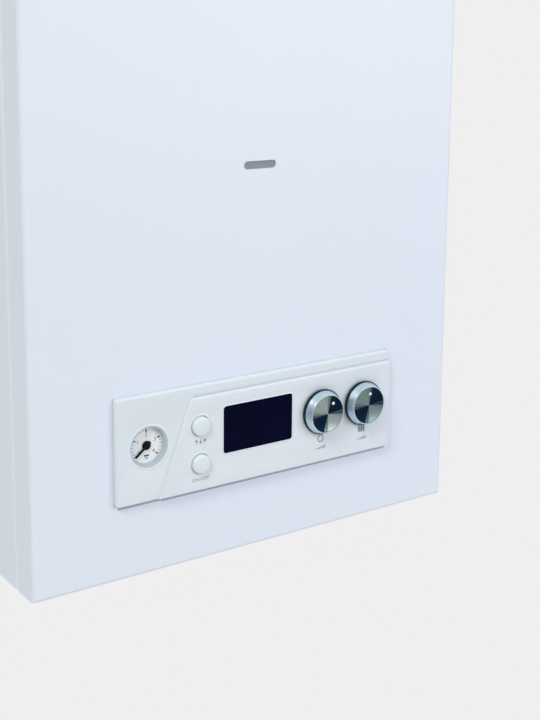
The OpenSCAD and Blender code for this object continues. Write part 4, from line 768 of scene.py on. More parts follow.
lead_colours = {
    "black": lead_insulation("extruded_pvc_black", "0e0f10", "18191a"),
    "brown": lead_insulation("extruded_pvc_brown", "4a2a18", "5c3620"),
    "blue": lead_insulation("extruded_pvc_blue", "153f8a", "1d4f9f"),
    "red": lead_insulation("extruded_pvc_red", "9a1714", "b5201b"),
    "white": lead_insulation("extruded_silicone_white", "d6d6d2", "e6e6e2", 0.5),
    "green": lead_insulation("extruded_pvc_green", "2e7d32", "c6b420", 0.45),
}
LEAD_R, SPARK_LEAD_R = 1.1 * MM, 2.2 * MM
LOOM = [(-168, -226, -470), (-168, -222, -500)]
# Each route starts at the part that its lead serves and ends in the loom, in millimetres.
# White leads go from the ignition unit to the bushes instead.
routes = {
    "white": [[(-84, -141, -455), (-80, -170, -472), (-50, -225, -455), (-28, -246, -424)],
              [(-56, -141, -455), (-48, -190, -468), (0, -232, -462), (28, -246, -424)]],
    "black": [[(112, -187, -470), (104, -192, -446), (20, -205, -440), (-90, -214, -452)] + LOOM,
              [(-12, -182, -498), (-40, -196, -476), (-100, -214, -462)] + LOOM,
              [(-130, -125, -499), (-134, -150, -478), (-150, -205, -466)] + LOOM],
    "brown": [[(116, -187, -470), (108, -196, -443), (20, -209, -437), (-90, -217, -449)] + LOOM,
              [(-12, -182, -523), (-44, -200, -484), (-100, -218, -460)] + LOOM],
    "blue": [[(108, -187, -470), (100, -190, -441), (20, -202, -435), (-90, -211, -447)] + LOOM,
             [(12, -182, -498), (-38, -204, -470), (-100, -220, -457)] + LOOM,
             [(-126, -125, -499), (-130, -154, -474), (-148, -208, -463)] + LOOM],
    "red": [[(92, -150, -596), (60, -190, -560), (-50, -216, -480), (-120, -222, -462)] + LOOM,
            [(-96, -150, -596), (-92, -186, -560), (-118, -212, -480)] + LOOM],
    "green": [[(-150, -16, -560), (-164, -60, -540), (-172, -160, -490), (-170, -222, -474)]
              + LOOM[1:]],
}
COLOUR_STEP, LEAD_STEP = 1.9, 1.3
for number, (colour, runs) in enumerate(routes.items()):
    bm = bmesh.new()
    for i, run in enumerate(runs):
        step = mm(0, COLOUR_STEP * (number - 2.5), LEAD_STEP * i)
        spots = [mm(*run[0])] + [mm(*spot) + step for spot in run[1:]]
        sweep(bm, spots, SPARK_LEAD_R if colour == "white" else LEAD_R, 8)
    make_piece("leads_" + colour, bm, [lead_colours[colour]], "root")

# Loom plug: moulded polyamide in ivory, clipped to the left side, with five contacts below it.
# Black polyamide ties hold the leads together on their way to it.
PLUG_LOW, PLUG_HIGH = (-180, -232, -522), (-158, -212, -498)
CONTACT_PITCH, CONTACT_W = 4, 2.6
bm = bmesh.new()
block(bm, mm(*PLUG_LOW), mm(*PLUG_HIGH), 1.5 * MM)
for i in range(5):
    x = PLUG_LOW[0] + 2 + CONTACT_PITCH * i
    block(bm, mm(x, PLUG_LOW[1] + 2, PLUG_LOW[2] - 4),
          mm(x + CONTACT_W, PLUG_HIGH[1] - 2, PLUG_LOW[2] + 0.5), 0.5 * MM)
make_piece("loom_plug", bm, [ivory_polyamide], "root")
TIE_R, TIE_T = 7.5, 0.9 * MM
ties_across, tie_upright = ((20, -205, -439), (-40, -209, -446)), (-168, -224, -484)
tie_loop = arc((0, 0), TIE_R, 0, 360, 12)
bm = bmesh.new()
for x, y, z in ties_across:
    sweep(bm, [mm(x, y + a, z + b) for a, b in tie_loop], TIE_T, 6, pieces=2, flat=1.6)
x, y, z = tie_upright
sweep(bm, [mm(x + a, y + b, z) for a, b in tie_loop], TIE_T, 6, pieces=2, flat=1.6)
make_piece("cable_ties", bm, [black_polyamide], "root")

# Temperature sensors: two brass probes screwed into the manifold blocks from the front.
# Each is turned bright with two steps and takes a red lead at its end.
SENSOR_X, SENSOR_Y, SENSOR_Z = (-96, 92), -133, -593
sensor = [(0, -22), (2.6, -22), (3.6, -20), (3.6, -16), (5.4, -15), (5.4, -9)]
sensor += [(7.6, -8), (7.6, 0)]
bm = bmesh.new()
for x in SENSOR_X:
    turn_profile(bm, mm(x, SENSOR_Y, SENSOR_Z), "y", in_mm(sensor), 24)
make_piece("temperature_sensors", bm, [brass], "root")

# Control tray: the grey rear half of the control box, moulded in flame-resistant plastic.
# Its back has a lid over the terminals, cooling slots, ribs, screws and a rubber grommet.
# The moulding is matt, with a fine grain.
grey_tray = mottled("moulded_abs_dark_grey", "3f4345", "4c5052", 0.8, 0.5, relief_mm=0.02)
dress(grey_tray, "control_tray")
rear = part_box("control_tray")[1].y / MM
LID_X, LID_Z, LID_RISE = (58, 160), (-618, -540), 5
LID_SCREW_INSET = 6
RIB_FIRST, RIB_PITCH, RIB_W, RIB_Z = -112, 34, 1.8, (-630, -574)
SLOT_FIRST, SLOT_PITCH, SLOT_W, SLOT_Z = -60, 8, 3, (-560, -524)
HOLE_X, HOLE_Z, HOLE_HALF_W, HOLE_HALF_H = -147.5, -522.5, 16.5, 9.5
GROMMET_OUT, GROMMET_R = 0.7, 1.6 * MM
boss_places = ((-112, -540), (36, -540))
corner_places = ((-165, -628), (165, -528), (165, -628))


def on_rear(bm, x_range, z_range, sunk, proud, edge):
    """A block that stands out of the tray's back, all in millimetres."""
    block(bm, mm(x_range[0], rear - sunk, z_range[0]), mm(x_range[1], rear + proud, z_range[1]),
          edge * MM)


bm = bmesh.new()
on_rear(bm, LID_X, LID_Z, 0.5, LID_RISE, 1.6)
for i in range(5):
    x = RIB_FIRST + RIB_PITCH * i
    on_rear(bm, (x, x + RIB_W), RIB_Z, 0.4, 1.8, 0.5)
boss = in_mm([(6.5, 0), (6.5, 2.2), (5.9, 2.8), (3.9, 2.8), (3.9, 1.0), (0, 1.0)])
for x, z in boss_places:
    turn_profile(bm, mm(x, rear - 0.3, z), "y", boss, 32)
make_piece("tray_lid_and_ribs", bm, [grey_tray], "control_box")
tray_screws = [(x, z, 0.8) for x, z in boss_places] + [(x, z, 0) for x, z in corner_places]
for x in (LID_X[0] + LID_SCREW_INSET, LID_X[1] - LID_SCREW_INSET):
    for z in (LID_Z[0] + LID_SCREW_INSET, LID_Z[1] - LID_SCREW_INSET):
        tray_screws.append((x, z, LID_RISE))
bm = bmesh.new()
for x, z, up in tray_screws:
    screw_head(bm, mm(x, rear + up, z), (0, 1, 0), 3.2 * MM)
make_piece("tray_screws", bm, [zinc_plate], "control_box")
bm = bmesh.new()
for i in range(9):
    x = SLOT_FIRST + SLOT_PITCH * i
    on_rear(bm, (x, x + SLOT_W), SLOT_Z, 0.3, 0.15, 1.2)
grommet = loop_of((HOLE_HALF_W + GROMMET_OUT) * MM, (HOLE_HALF_H + GROMMET_OUT) * MM, 3 * MM,
                  (rear + 0.2) * MM, HOLE_Z * MM)
sweep(bm, [spot + mm(HOLE_X, 0, 0) for spot in grommet], GROMMET_R, 8, pieces=1)
on_rear(bm, (HOLE_X - HOLE_HALF_W, HOLE_X + HOLE_HALF_W),
        (HOLE_Z - HOLE_HALF_H, HOLE_Z + HOLE_HALF_H), 2, -1, 0.3)
make_piece("tray_slots_and_grommet", bm, [epdm], "control_box")

# Circuit board: glass-epoxy board under green solder resist, with its parts soldered on.
# The resist is a glossy varnish, lighter where copper tracks lie under it.
solder_resist = mottled("solder_resist_green", "0d3a22", "14502f", 3, 0.3)
dress(solder_resist, "circuit_board")

# Control panel: white ABS, moulded with a very fine satin texture.
# A raised plate with a slanted end sits in a groove of the frame and carries the controls.
# The back of the moulding is a flange that the cover's window hides.
satin_abs = mottled("moulded_abs_satin_white", "dbe2ee", "e0e7f2", 0.5, 0.34, relief_mm=0.004)
fascia_low, fascia_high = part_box("control_fascia")
display_low, display_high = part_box("display_window")
COVER_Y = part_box("front_cover")[0].y
PLATE_Y = fascia_low.y
FRAME_Y = PLATE_Y + 2 * MM
WEB_Y = PLATE_Y + 3.1 * MM
FLANGE_Y = PLATE_Y + 10 * MM
PANEL_X, PANEL_LOW, PANEL_HIGH = 132 * MM, -593.8 * MM, -508.8 * MM
PLATE_TOP = PANEL_HIGH - 9 * MM
SLANT_TOP_X, SLANT_LOW_X = -67.6 * MM, -96.0 * MM
GROOVE, GROOVE_SLANT = 0.8 * MM, 3 * MM
SOFT_EDGE = 1.2 * MM
CORNER_R = 2.0 * MM


def rounded(corners, radius):
    """An outline whose corners are rounded by short curves of about one radius."""
    spots = []
    for i, corner in enumerate(corners):
        here = Vector(corner)
        before = (Vector(corners[i - 1]) - here).normalized()
        after = (Vector(corners[(i + 1) % len(corners)]) - here).normalized()
        for k in range(5):
            t = k / 4
            spots.append(here + before * radius * (1 - t) ** 2 + after * radius * t ** 2)
    return spots


def box_outline(low_x, low_z, high_x, high_z, radius):
    return rounded([(low_x, low_z), (high_x, low_z), (high_x, high_z), (low_x, high_z)], radius)


def disc_outline(x, z, radius, steps=64):
    return [Vector(spot) for spot in arc((x, z), radius, 0, 360, steps)[:-1]]


def from_curve(data, move):
    """A mesh from a filled curve or from lettering, turned upright to face the front."""
    holder = bpy.data.objects.new("outline", data)
    bpy.context.scene.collection.objects.link(holder)
    bpy.context.view_layer.update()
    mesh = bpy.data.meshes.new_from_object(holder)
    bpy.data.objects.remove(holder)
    bpy.data.curves.remove(data)
    mesh.transform(Matrix.Translation(move) @ Matrix.Rotation(math.radians(90), 4, "X"))
    return mesh


def upright_sheet(bm, outlines, front, back, edge, mark=0):
    """A sheet cut to an outline of (x, z), with the other outlines as holes and round edges."""
    data = bpy.data.curves.new("sheet", "CURVE")
    data.dimensions = "2D"
    data.fill_mode = "BOTH"
    data.extrude = (back - front) / 2 - edge
    data.bevel_depth = edge
    data.bevel_resolution = 2
    data.offset = -edge
    for number, outline in enumerate(outlines):
        line = data.splines.new("POLY")
        line.points.add(len(outline) - 1)
        line.use_cyclic_u = True
        for point, spot in zip(line.points, reversed(outline) if number else outline):
            point.co = (spot[0], spot[1], 0, 1)
    start = len(bm.faces)
    bm.from_mesh(from_curve(data, Vector((0, (front + back) / 2, 0))))
    bm.faces.ensure_lookup_table()
    for face in bm.faces[start:]:
        face.material_index = mark


def slant_x(z):
    """Where the plate's slanted end lies at a height."""
    share = (z - PANEL_LOW) / (PLATE_TOP - PANEL_LOW)
    return SLANT_LOW_X + (SLANT_TOP_X - SLANT_LOW_X) * share


button_hubs = [(middle(name).x, middle(name).z) for name in ("set_button", "power_button")]
knob_hubs = [(middle(name).x, middle(name).z) for name in ("left_knob", "right_knob")]
gauge_hub = (middle("gauge_body").x, middle("gauge_body").z)
BUTTON_R, HOLE_GAP = 7.9 * MM, 0.4 * MM
KNOB_HOLE_R = 8.5 * MM
GAUGE_HOLE_R = 16.35 * MM
DISPLAY_GAP, DISPLAY_CORNER = 0.15 * MM, 3.0 * MM
display_hole = box_outline(display_low.x - DISPLAY_GAP, display_low.z - DISPLAY_GAP,
                           display_high.x + DISPLAY_GAP, display_high.z + DISPLAY_GAP,
                           DISPLAY_CORNER)
control_holes = [disc_outline(x, z, BUTTON_R + HOLE_GAP) for x, z in button_hubs]
control_holes += [disc_outline(x, z, KNOB_HOLE_R) for x, z in knob_hubs] + [display_hole]
slant_low, slant_top = (slant_x(PANEL_LOW), PANEL_LOW), (SLANT_TOP_X, PLATE_TOP)
frame_front = rounded([(-PANEL_X, PANEL_LOW), (slant_low[0] + GROOVE_SLANT, PANEL_LOW),
                       (SLANT_TOP_X + GROOVE_SLANT, PLATE_TOP + GROOVE),
                       (PANEL_X, PLATE_TOP + GROOVE),
                       (PANEL_X, PANEL_HIGH), (-PANEL_X, PANEL_HIGH)], CORNER_R)
bm = bmesh.new()
upright_sheet(bm, [frame_front, disc_outline(*gauge_hub, GAUGE_HOLE_R)], FRAME_Y, FLANGE_Y,
              SOFT_EDGE)
# The plate's lower left corner stays sharp, where the slant runs out at the frame's edge.
plate_corners = [slant_low, (PANEL_X, PANEL_LOW), (PANEL_X, PLATE_TOP), slant_top]
plate = [Vector(slant_low)] + rounded(plate_corners, CORNER_R)[5:]
upright_sheet(bm, [plate] + control_holes, PLATE_Y, COVER_Y, SOFT_EDGE)
web_low, web_right, web_top = PANEL_LOW + 0.3 * MM, PANEL_X - 0.3 * MM, PLATE_TOP + 2 * MM
web = [Vector((slant_low[0] - 2 * MM, web_low)), Vector((web_right, web_low)),
       Vector((web_right, web_top)), Vector((SLANT_TOP_X - 2 * MM, web_top))]
upright_sheet(bm, [web] + control_holes, WEB_Y, FLANGE_Y, 0.05 * MM)
FLANGE_IN = 3 * MM
flange = box_outline(fascia_low.x, fascia_low.z, fascia_high.x, fascia_high.z, CORNER_R)
inner = box_outline(FLANGE_IN - PANEL_X, PANEL_LOW + FLANGE_IN, PANEL_X - FLANGE_IN,
                    PANEL_HIGH - FLANGE_IN, 1 * MM)
upright_sheet(bm, [flange, inner], FLANGE_Y, fascia_high.y, 0.4 * MM)
button_lip = in_mm([(8.3, 1.5), (8.3, 0.0), (8.8, -0.35), (9.7, -0.3), (10.6, 0.1)])
for x, z in button_hubs:
    turn_profile(bm, (x, PLATE_Y, z), "y", button_lip, 64)
gauge_lip = in_mm([(16.3, 0.4), (16.4, -0.1), (17.0, -0.35), (17.8, -0.3), (18.6, 0.1)])
turn_profile(bm, (gauge_hub[0], FRAME_Y, gauge_hub[1]), "y", gauge_lip, 96)
display = middle("display_window")
RIM_OUT, RIM_R = 0.7 * MM, 0.6 * MM
rim = loop_of((display_high.x - display_low.x) / 2 + RIM_OUT,
              (display_high.z - display_low.z) / 2 + RIM_OUT, 3.2 * MM, PLATE_Y + 0.1 * MM,
              display.z, 6)
sweep(bm, [spot + Vector((display.x, 0, 0)) for spot in rim], RIM_R, 10, pieces=1)
make_piece("control_panel", bm, [satin_abs], "control_box", ["control_fascia"], 30)

# Panel seal: a soft white lip that closes the gap between the panel and the cover's window.
# It is moulded on to the panel's edge, matt and a little darker than the panel.
soft_lip = mottled("moulded_tpe_white", "c9d2da", "d3dce4", 1.5, 0.6)
LIP_OUT, LIP_IN = 0.42 * MM, 0.6 * MM
seal_outer = box_outline(-PANEL_X - LIP_OUT, PANEL_LOW - LIP_OUT, PANEL_X + LIP_OUT,
                         PANEL_HIGH + LIP_OUT, 1.6 * MM)
seal_inner = box_outline(LIP_IN - PANEL_X, PANEL_LOW + LIP_IN, PANEL_X - LIP_IN,
                         PANEL_HIGH - LIP_IN, 1.0 * MM)
bm = bmesh.new()
upright_sheet(bm, [seal_outer, seal_inner], COVER_Y + 0.1 * MM, FLANGE_Y - 0.2 * MM, 0.05 * MM)
make_piece("panel_seal", bm, [soft_lip], "control_box")

# Marks on the panel: pad-printed in grey, with symbols for heating and hot water.
# The ink film is thin and matt.
grey_ink = mottled("pad_printed_ink_grey", "848f97", "919ca4", 1, 0.6, relief_mm=0.001)
INK = 0.04 * MM


def lettering(bm, text, x, z, height, front, mark=0):
    """Plain sans lettering centred on a place, as a film of ink."""
    data = bpy.data.curves.new("letters", "FONT")
    data.body = text
    data.size = height
    data.align_x = "CENTER"
    data.align_y = "CENTER"
    data.extrude = INK / 2
    data.resolution_u = 3
    start = len(bm.faces)
    bm.from_mesh(from_curve(data, Vector((x, front, z))))
    bm.faces.ensure_lookup_table()
    for face in bm.faces[start:]:
        face.material_index = mark


def ink_line(bm, spots, x, z, width, front, mark=0):
    """A printed line through places given in millimetres from a centre."""
    sweep(bm, [Vector((x + a * MM, front, z + b * MM)) for a, b in spots], width * MM / 2, 6,
          mark=mark, pieces=1)


front = PLATE_Y - INK / 2
(set_x, set_z), (power_x, power_z) = button_hubs
left_x, right_x = (x for x, z in knob_hubs)
slider_z = set_z - 12.4 * MM
icon_z = knob_hubs[0][1] - 23.2 * MM
wedge_z = icon_z - 8 * MM
bm = bmesh.new()
lettering(bm, "ON/OFF", power_x, power_z - 12.8 * MM, 4.4 * MM, front)
for a, b in ((-3.8, 0.7), (0, -0.8), (3.8, 0.3)):
    ink_line(bm, [(a, -1.8), (a, 1.8)], set_x, slider_z, 0.55, front)
    ink_line(bm, [(a - 1.1, b), (a + 1.1, b)], set_x, slider_z, 1.1, front)
for a in (-2.5, 0, 2.5):
    ink_line(bm, [(a, -2.5), (a, 2.5)], right_x, icon_z, 1.7, front)
ink_line(bm, [(-3.9, 0), (3.9, 0)], right_x, icon_z, 0.7, front)
drop = arc((0, -0.8), 2.7, -215, 35, 12) + [(1.2, 1.9), (0, 3.7), (-1.2, 1.9)]
ink_line(bm, drop + drop[:1], left_x, icon_z, 0.8, front)
WEDGE_START, WEDGE_PITCH, WEDGE_RISE = -4.6, 1.3, 0.36
for x in (left_x, right_x):
    for i in range(8):
        a = WEDGE_START + WEDGE_PITCH * i
        ink_line(bm, [(a, -1.5), (a, WEDGE_RISE * i - 1.0)], x, wedge_z, 0.65, front)
make_piece("panel_marks", bm, [grey_ink], "control_box")

# Buttons: white ABS caps with a shallow crown and a full round edge, each in a lip of the plate.
# The mould is polished, so they shine a little more than the panel.
button_abs = mottled("moulded_abs_polished_white", "dbe4ec", "e1e9f1", 0.5, 0.28, relief_mm=0.002)
EDGE_R = 2.6 * MM
for name, (x, z) in zip(("set_button", "power_button"), button_hubs):
    low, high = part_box(name)
    crown = [(0, low.y), (2.0 * MM, low.y + 0.04 * MM), (4.0 * MM, low.y + 0.14 * MM)]
    crown += arc((BUTTON_R - EDGE_R, low.y + EDGE_R + 0.3 * MM), EDGE_R, -90, 0, 8)
    bm = bmesh.new()
    turn_profile(bm, (x, 0, z), "y", crown + [(BUTTON_R, high.y), (0, high.y)], 64)
    make_piece(name + "_cap", bm, [button_abs], name, [name])

# Display: a tinted acrylic window with an anti-reflection film, almost black with a blue cast.
# The film takes nearly all of the mirror image away, so its specular level is far below normal.
tinted_acrylic = mottled("tinted_acrylic_navy", "010210", "02042c", 40, 0.1, relief_mm=0.0,
                         sockets={"IOR": 1.49, "Specular IOR Level": 0.04})
dress(tinted_acrylic, "display_window")


# Knobs: a black plated skirt, a bright chromed drum and a disc of spun aluminium.
# The disc's two bright and two dark sectors are painted reflection in its colour and turn with the
# knob; its fine turning rings are real relief.
def spun_disc(name, low, high, centre, painted_highlight_turn):
    """Spun aluminium with painted reflection: bright and dark sectors round the centre, broken by
    radial streaks, over real fine rings 0.35 mm apart.
    """
    material, tree, shader = new_finish(name, high, 0.3, 1.0)
    place = add_node(tree, "ShaderNodeTexCoord")
    from_hub = add_node(tree, "ShaderNodeVectorMath", {0: place.outputs["Object"], 1: centre},
                        operation="SUBTRACT")
    axes = add_node(tree, "ShaderNodeSeparateXYZ", {"Vector": from_hub.outputs["Vector"]})
    turn = add_node(tree, "ShaderNodeMath", {0: axes.outputs["Z"], 1: axes.outputs["X"]},
                    operation="ARCTAN2")
    # The sectors and streaks from here on paint reflection into the base colour.
    doubled = add_node(tree, "ShaderNodeMath", {0: turn.outputs["Value"], 1: 2.0,
                                                2: -2 * painted_highlight_turn}, operation="MULTIPLY_ADD")
    painted_lobes = add_node(tree, "ShaderNodeMath", {0: doubled.outputs["Value"]}, operation="COSINE")
    streak_angle = add_node(tree, "ShaderNodeMath", {0: turn.outputs["Value"], 1: 7.0},
                            operation="MULTIPLY")
    streaks = add_node(tree, "ShaderNodeTexNoise", {"W": streak_angle.outputs["Value"],
                                                    "Scale": 1.0, "Detail": 6.0,
                                                    "Roughness": 0.7}, noise_dimensions="1D")
    jitter = add_node(tree, "ShaderNodeMapRange", {"Value": streaks.outputs["Fac"],
                                                   "From Min": 0.3, "From Max": 0.7,
                                                   "To Min": -0.45, "To Max": 0.45})
    light = add_node(tree, "ShaderNodeMath", {0: painted_lobes.outputs["Value"],
                                              1: jitter.outputs["Result"]}, operation="ADD")
    painted_sector = add_node(tree, "ShaderNodeMapRange", {"Value": light.outputs["Value"],
                                                   "From Min": -0.35, "From Max": 0.45})
    painted_shimmer = add_node(tree, "ShaderNodeMapRange", {"Value": streaks.outputs["Fac"],
                                                    "From Min": 0.25, "From Max": 0.7,
                                                    "To Min": 0.72, "To Max": 1.0})
    share = add_node(tree, "ShaderNodeMath", {0: painted_sector.outputs["Result"],
                                              1: painted_shimmer.outputs["Result"]}, operation="MULTIPLY")
    blend_colours(tree, shader, share.outputs["Value"], low, high)
    radius = add_node(tree, "ShaderNodeVectorMath", {0: from_hub.outputs["Vector"]},
                      operation="LENGTH")
    rings = add_node(tree, "ShaderNodeMath", {0: radius.outputs["Value"],
                                              1: 2 * math.pi / (0.35 * MM)}, operation="MULTIPLY")
    groove = add_node(tree, "ShaderNodeMath", {0: rings.outputs["Value"]}, operation="SINE")
    height = add_node(tree, "ShaderNodeMapRange", {"Value": groove.outputs["Value"],
                                                   "From Min": -1.0})
    raise_surface(tree, shader, height.outputs["Result"], 0.004)
    return material


# The drum's chrome is blurred and pale, the skirt's is almost black with a blue cast, and the dot
# is a glossy white dome near the rim that marks the knob's dimple; its white is a painted glint.
chrome = mottled("satin_chrome_plated_abs", "c6dae8", "d3e3ef", 10, 0.3, 0.75, 0.0)
dark_chrome = mottled("black_chrome_plated_abs", "102a34", "1c3f4a", 6, 0.24, 0.9, 0.002)
painted_glint_white = mottled("enamel_dot_painted_glint", "eef4f8", "f6fafc", 1, 0.25, relief_mm=0.0)
# The turn at which the discs' painted highlight sectors lie.
PAINTED_HIGHLIGHT_TURN = math.radians(130)
DOT_CIRCLE_R = 9.9 * MM


def knob(side, dot_turn, painted_highlight):
    """A knob with its dot at a turn from the top, and the painted highlight colour of its disc's
    bright sectors.
    """
    low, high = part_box(side + "_knob")
    face_low, face_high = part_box(side + "_knob_face")
    hub = Vector((middle(side + "_knob").x, 0, middle(side + "_knob").z))
    skirt_r = (high.x - low.x) / 2
    face_r = (face_high.x - face_low.x) / 2
    back = PLATE_Y - 0.7 * MM
    front = low.y
    skirt = [(0, back), (skirt_r - 0.5 * MM, back)]
    skirt += arc((skirt_r - 0.5 * MM, back - 0.5 * MM), 0.5 * MM, 90, 0, 3)
    skirt += arc((skirt_r - 0.6 * MM, back - 2.4 * MM), 0.6 * MM, 0, -90, 4)
    drum = [(skirt_r - 0.8 * MM, back - 2.9 * MM), (skirt_r - 0.9 * MM, back - 3.3 * MM)]
    drum += arc((face_r + 0.4 * MM, front + 0.4 * MM), 0.35 * MM, 10, -90, 4)
    drum += [(face_r + 0.05 * MM, front + 0.1 * MM), (face_r + 0.03 * MM, front + 0.6 * MM),
             (0, front + 0.6 * MM)]
    bm = bmesh.new()
    turn_profile(bm, hub, "y", skirt + drum, 96, [0] * len(skirt) + [1] * len(drum))
    make_piece(side + "_knob_body", bm, [dark_chrome, chrome], side + "_knob",
               [side + "_knob"])
    spun = spun_disc("spun_aluminium_painted_sectors_" + side, "0a2338", painted_highlight, hub + Vector((0, front, 0)),
                     PAINTED_HIGHLIGHT_TURN)
    disc = [(0, front + 0.6 * MM), (face_r, front + 0.6 * MM)]
    disc += arc((face_r - 0.4 * MM, front + 0.4 * MM), 0.4 * MM, 0, -90, 4)
    disc += [(face_r - 0.7 * MM, front + 0.13 * MM), (0, front + 0.16 * MM)]
    bm = bmesh.new()
    turn_profile(bm, hub, "y", disc, 96)
    make_piece(side + "_knob_disc", bm, [spun], side + "_knob",
               [side + "_knob_face"])
    # The dot's white is a painted glint on the knob's dimple.
    dot = in_mm([(1.35, 0.2), (1.3, 0.08), (1.1, 0.03), (0.6, 0.005), (0, 0)])
    spot = hub + DOT_CIRCLE_R * Vector((math.sin(dot_turn), 0, math.cos(dot_turn)))
    spot.y = front
    bm = bmesh.new()
    turn_profile(bm, spot, "y", dot, 32)
    make_piece(side + "_knob_dot", bm, [painted_glint_white], side + "_knob")


# The left disc's painted highlight is lighter than the right one's, as more light falls on it.
knob("left", math.radians(33), "a9b8b5")
knob("right", math.radians(7), "879a9b")

# Pressure gauge: a white dial in a can, under a conical surround moulded in grey ABS.
# The needle is matt black steel on a spindle, the dial's paint and print are flat, and a clear
# acrylic disc closes the front.
grey_surround = mottled("moulded_abs_pale_grey", "b3becb", "bfc9d4", 0.8, 0.45)
white_dial = mottled("stoved_dial_paint_white", "f3f7fc", "f8fafe", 12, 0.55, relief_mm=0.001)
black_steel = mottled("blackened_steel", "020408", "04070c", 1, 0.5,
                      sockets={"Specular IOR Level": 0.15})
dial_ink = mottled("screen_printed_ink_dark_grey", "3c454d", "4a545d", 1, 0.6, relief_mm=0.001)
clear_disc = mottled("clear_acrylic", "050608", "0a0c0f", 20, 0.05, relief_mm=0.0,
                     sockets={"Alpha": 0.02, "IOR": 1.49})
dress(grey_surround, "gauge_body")
dress(clear_disc, "gauge_lens")
DIAL_Y = COVER_Y - 0.05 * MM
DIAL_R = 13.9
SCALE_START, SCALE_TURN, SCALE_MARKS = 220, 260, 20
MARK_OUTER, LONG_MARK_INNER, SHORT_MARK_INNER = 13.0, 10.6, 11.9
NUMBER_R = 8.3 * MM
dial = in_mm([(1.6, 0.03), (1.6, 0), (DIAL_R, 0), (DIAL_R, 0.03)])
bm = bmesh.new()
turn_profile(bm, (gauge_hub[0], DIAL_Y, gauge_hub[1]), "y", dial, 96)
front = DIAL_Y - INK / 2
for i in range(SCALE_MARKS + 1):
    angle = math.radians(SCALE_START - SCALE_TURN * i / SCALE_MARKS)
    ahead = Vector((math.cos(angle), math.sin(angle)))
    large = i % 5 == 0
    inner = LONG_MARK_INNER if large else SHORT_MARK_INNER
    ink_line(bm, [ahead * inner, ahead * MARK_OUTER], *gauge_hub, 1.1 if large else 0.45, front, 1)
    if large:
        x, z = Vector(gauge_hub) + ahead * NUMBER_R
        lettering(bm, str(i // 5), x, z, 4.2 * MM, front, 1)
for half, z, width in ((2.0, -8.2, 1.3), (1.2, -10.2, 0.7)):
    ink_line(bm, [(-half, z), (half, z)], *gauge_hub, width, front, 1)
make_piece("gauge_dial", bm, [white_dial, dial_ink], "control_box")
hand_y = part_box("gauge_needle")[0].y
boss = [(0, 0), (1.5, 0.06), (2.6, 0.3), (3.3, 0.75), (3.6, 1.3), (3.6, 1.9), (0, 1.9)]
ahead = Vector((math.cos(math.radians(SCALE_START)), math.sin(math.radians(SCALE_START))))
aside = Vector((-ahead.y, ahead.x))
blade = [ahead * a * MM + aside * b * MM + Vector(gauge_hub)
         for a, b in ((-4, -1.1), (12.8, -0.65), (12.8, 0.65), (-4, 1.1))]
bm = bmesh.new()
turn_profile(bm, (gauge_hub[0], hand_y, gauge_hub[1]), "y", in_mm(boss), 48)
upright_sheet(bm, [rounded(blade, 0.4 * MM)], hand_y + 0.5 * MM, hand_y + 1.3 * MM, 0.15 * MM)
make_piece("gauge_hand", bm, [black_steel], "gauge_needle", ["gauge_needle"])

# Front cover: one steel sheet pressed into a tray with soft edges and powder coated white.
# It carries the control panel's window and the flame slot. The slot's heatproof pane is frosted
# to a blurred grey.
dress(white_coat, "front_cover")
slot_glass = mottled("heatproof_glass_frosted_grey", "76828a", "8d99a1", 4, 0.3, relief_mm=0.01)
dress(slot_glass, "sight_window")

# Painted shadow: a grey strip on the cover's face, just under the control panel's window, stands
# in for the dark shadow line below the panel. It has rounded edges and is half matt.
painted_shadow_strip = mottled("painted_shadow_line_grey", "97a4b0", "a3afbb", 2, 0.5)
STRIP_FRONT, STRIP_BACK = COVER_Y - 0.6 * MM, COVER_Y + 0.2 * MM
STRIP_TOP = PANEL_LOW - 0.45 * MM
strip_step_x = slant_x(PANEL_LOW) + 5 * MM
# The strip is a painted shadow line, a little deeper right of the slant.
bm = bmesh.new()
for low_x, high_x, drop in ((3 * MM - PANEL_X, strip_step_x, 3.4 * MM),
                            (strip_step_x, PANEL_X, 4.2 * MM)):
    block(bm, Vector((low_x, STRIP_FRONT, PANEL_LOW - drop)),
          Vector((high_x, STRIP_BACK, STRIP_TOP)), 0.3 * MM)
make_piece("painted_shadow_line_under_panel", bm, [painted_shadow_strip], "front_cover")

# Cover fittings: four spring clips and two strips of foam inside the front cover.
# The clips are bright spring steel. The foam has closed cells, is matt and coarse, and seals the
# cover to the chamber's lid.
foam = mottled("closed_cell_foam_dark_grey", "2c2f31", "3c4042", 0.9, 0.9, relief_mm=0.08)
inside = (COVER_Y + SHEET) / MM
FOAM_X, FOAM_HALF_W, FOAM_T, FOAM_Z = 187, 4, 4, (-470, 20)
CLIP_X, CLIP_ROWS, CLIP_HALF_W, CLIP_HALF_H = 150, (30, -640), 12, 5
bm = bmesh.new()
for x in (-FOAM_X, FOAM_X):
    block(bm, mm(x - FOAM_HALF_W, inside, FOAM_Z[0]),
          mm(x + FOAM_HALF_W, inside + FOAM_T, FOAM_Z[1]), 1.2 * MM)
make_piece("cover_foam", bm, [foam], "front_cover")
bm = bmesh.new()
for x in (-CLIP_X, CLIP_X):
    for z in CLIP_ROWS:
        block(bm, mm(x - CLIP_HALF_W, inside + 0.2, z - CLIP_HALF_H),
              mm(x + CLIP_HALF_W, inside + 1.2, z + CLIP_HALF_H), 0.4 * MM)
        spring = [mm(x + a, inside + b, z) for a, b in ((-8, 1), (-3, 6), (3, 6), (8, 1))]
        sweep(bm, spring, 0.8 * MM, 6, flat=3.0)
make_piece("cover_clips", bm, [spring_wire], "front_cover")


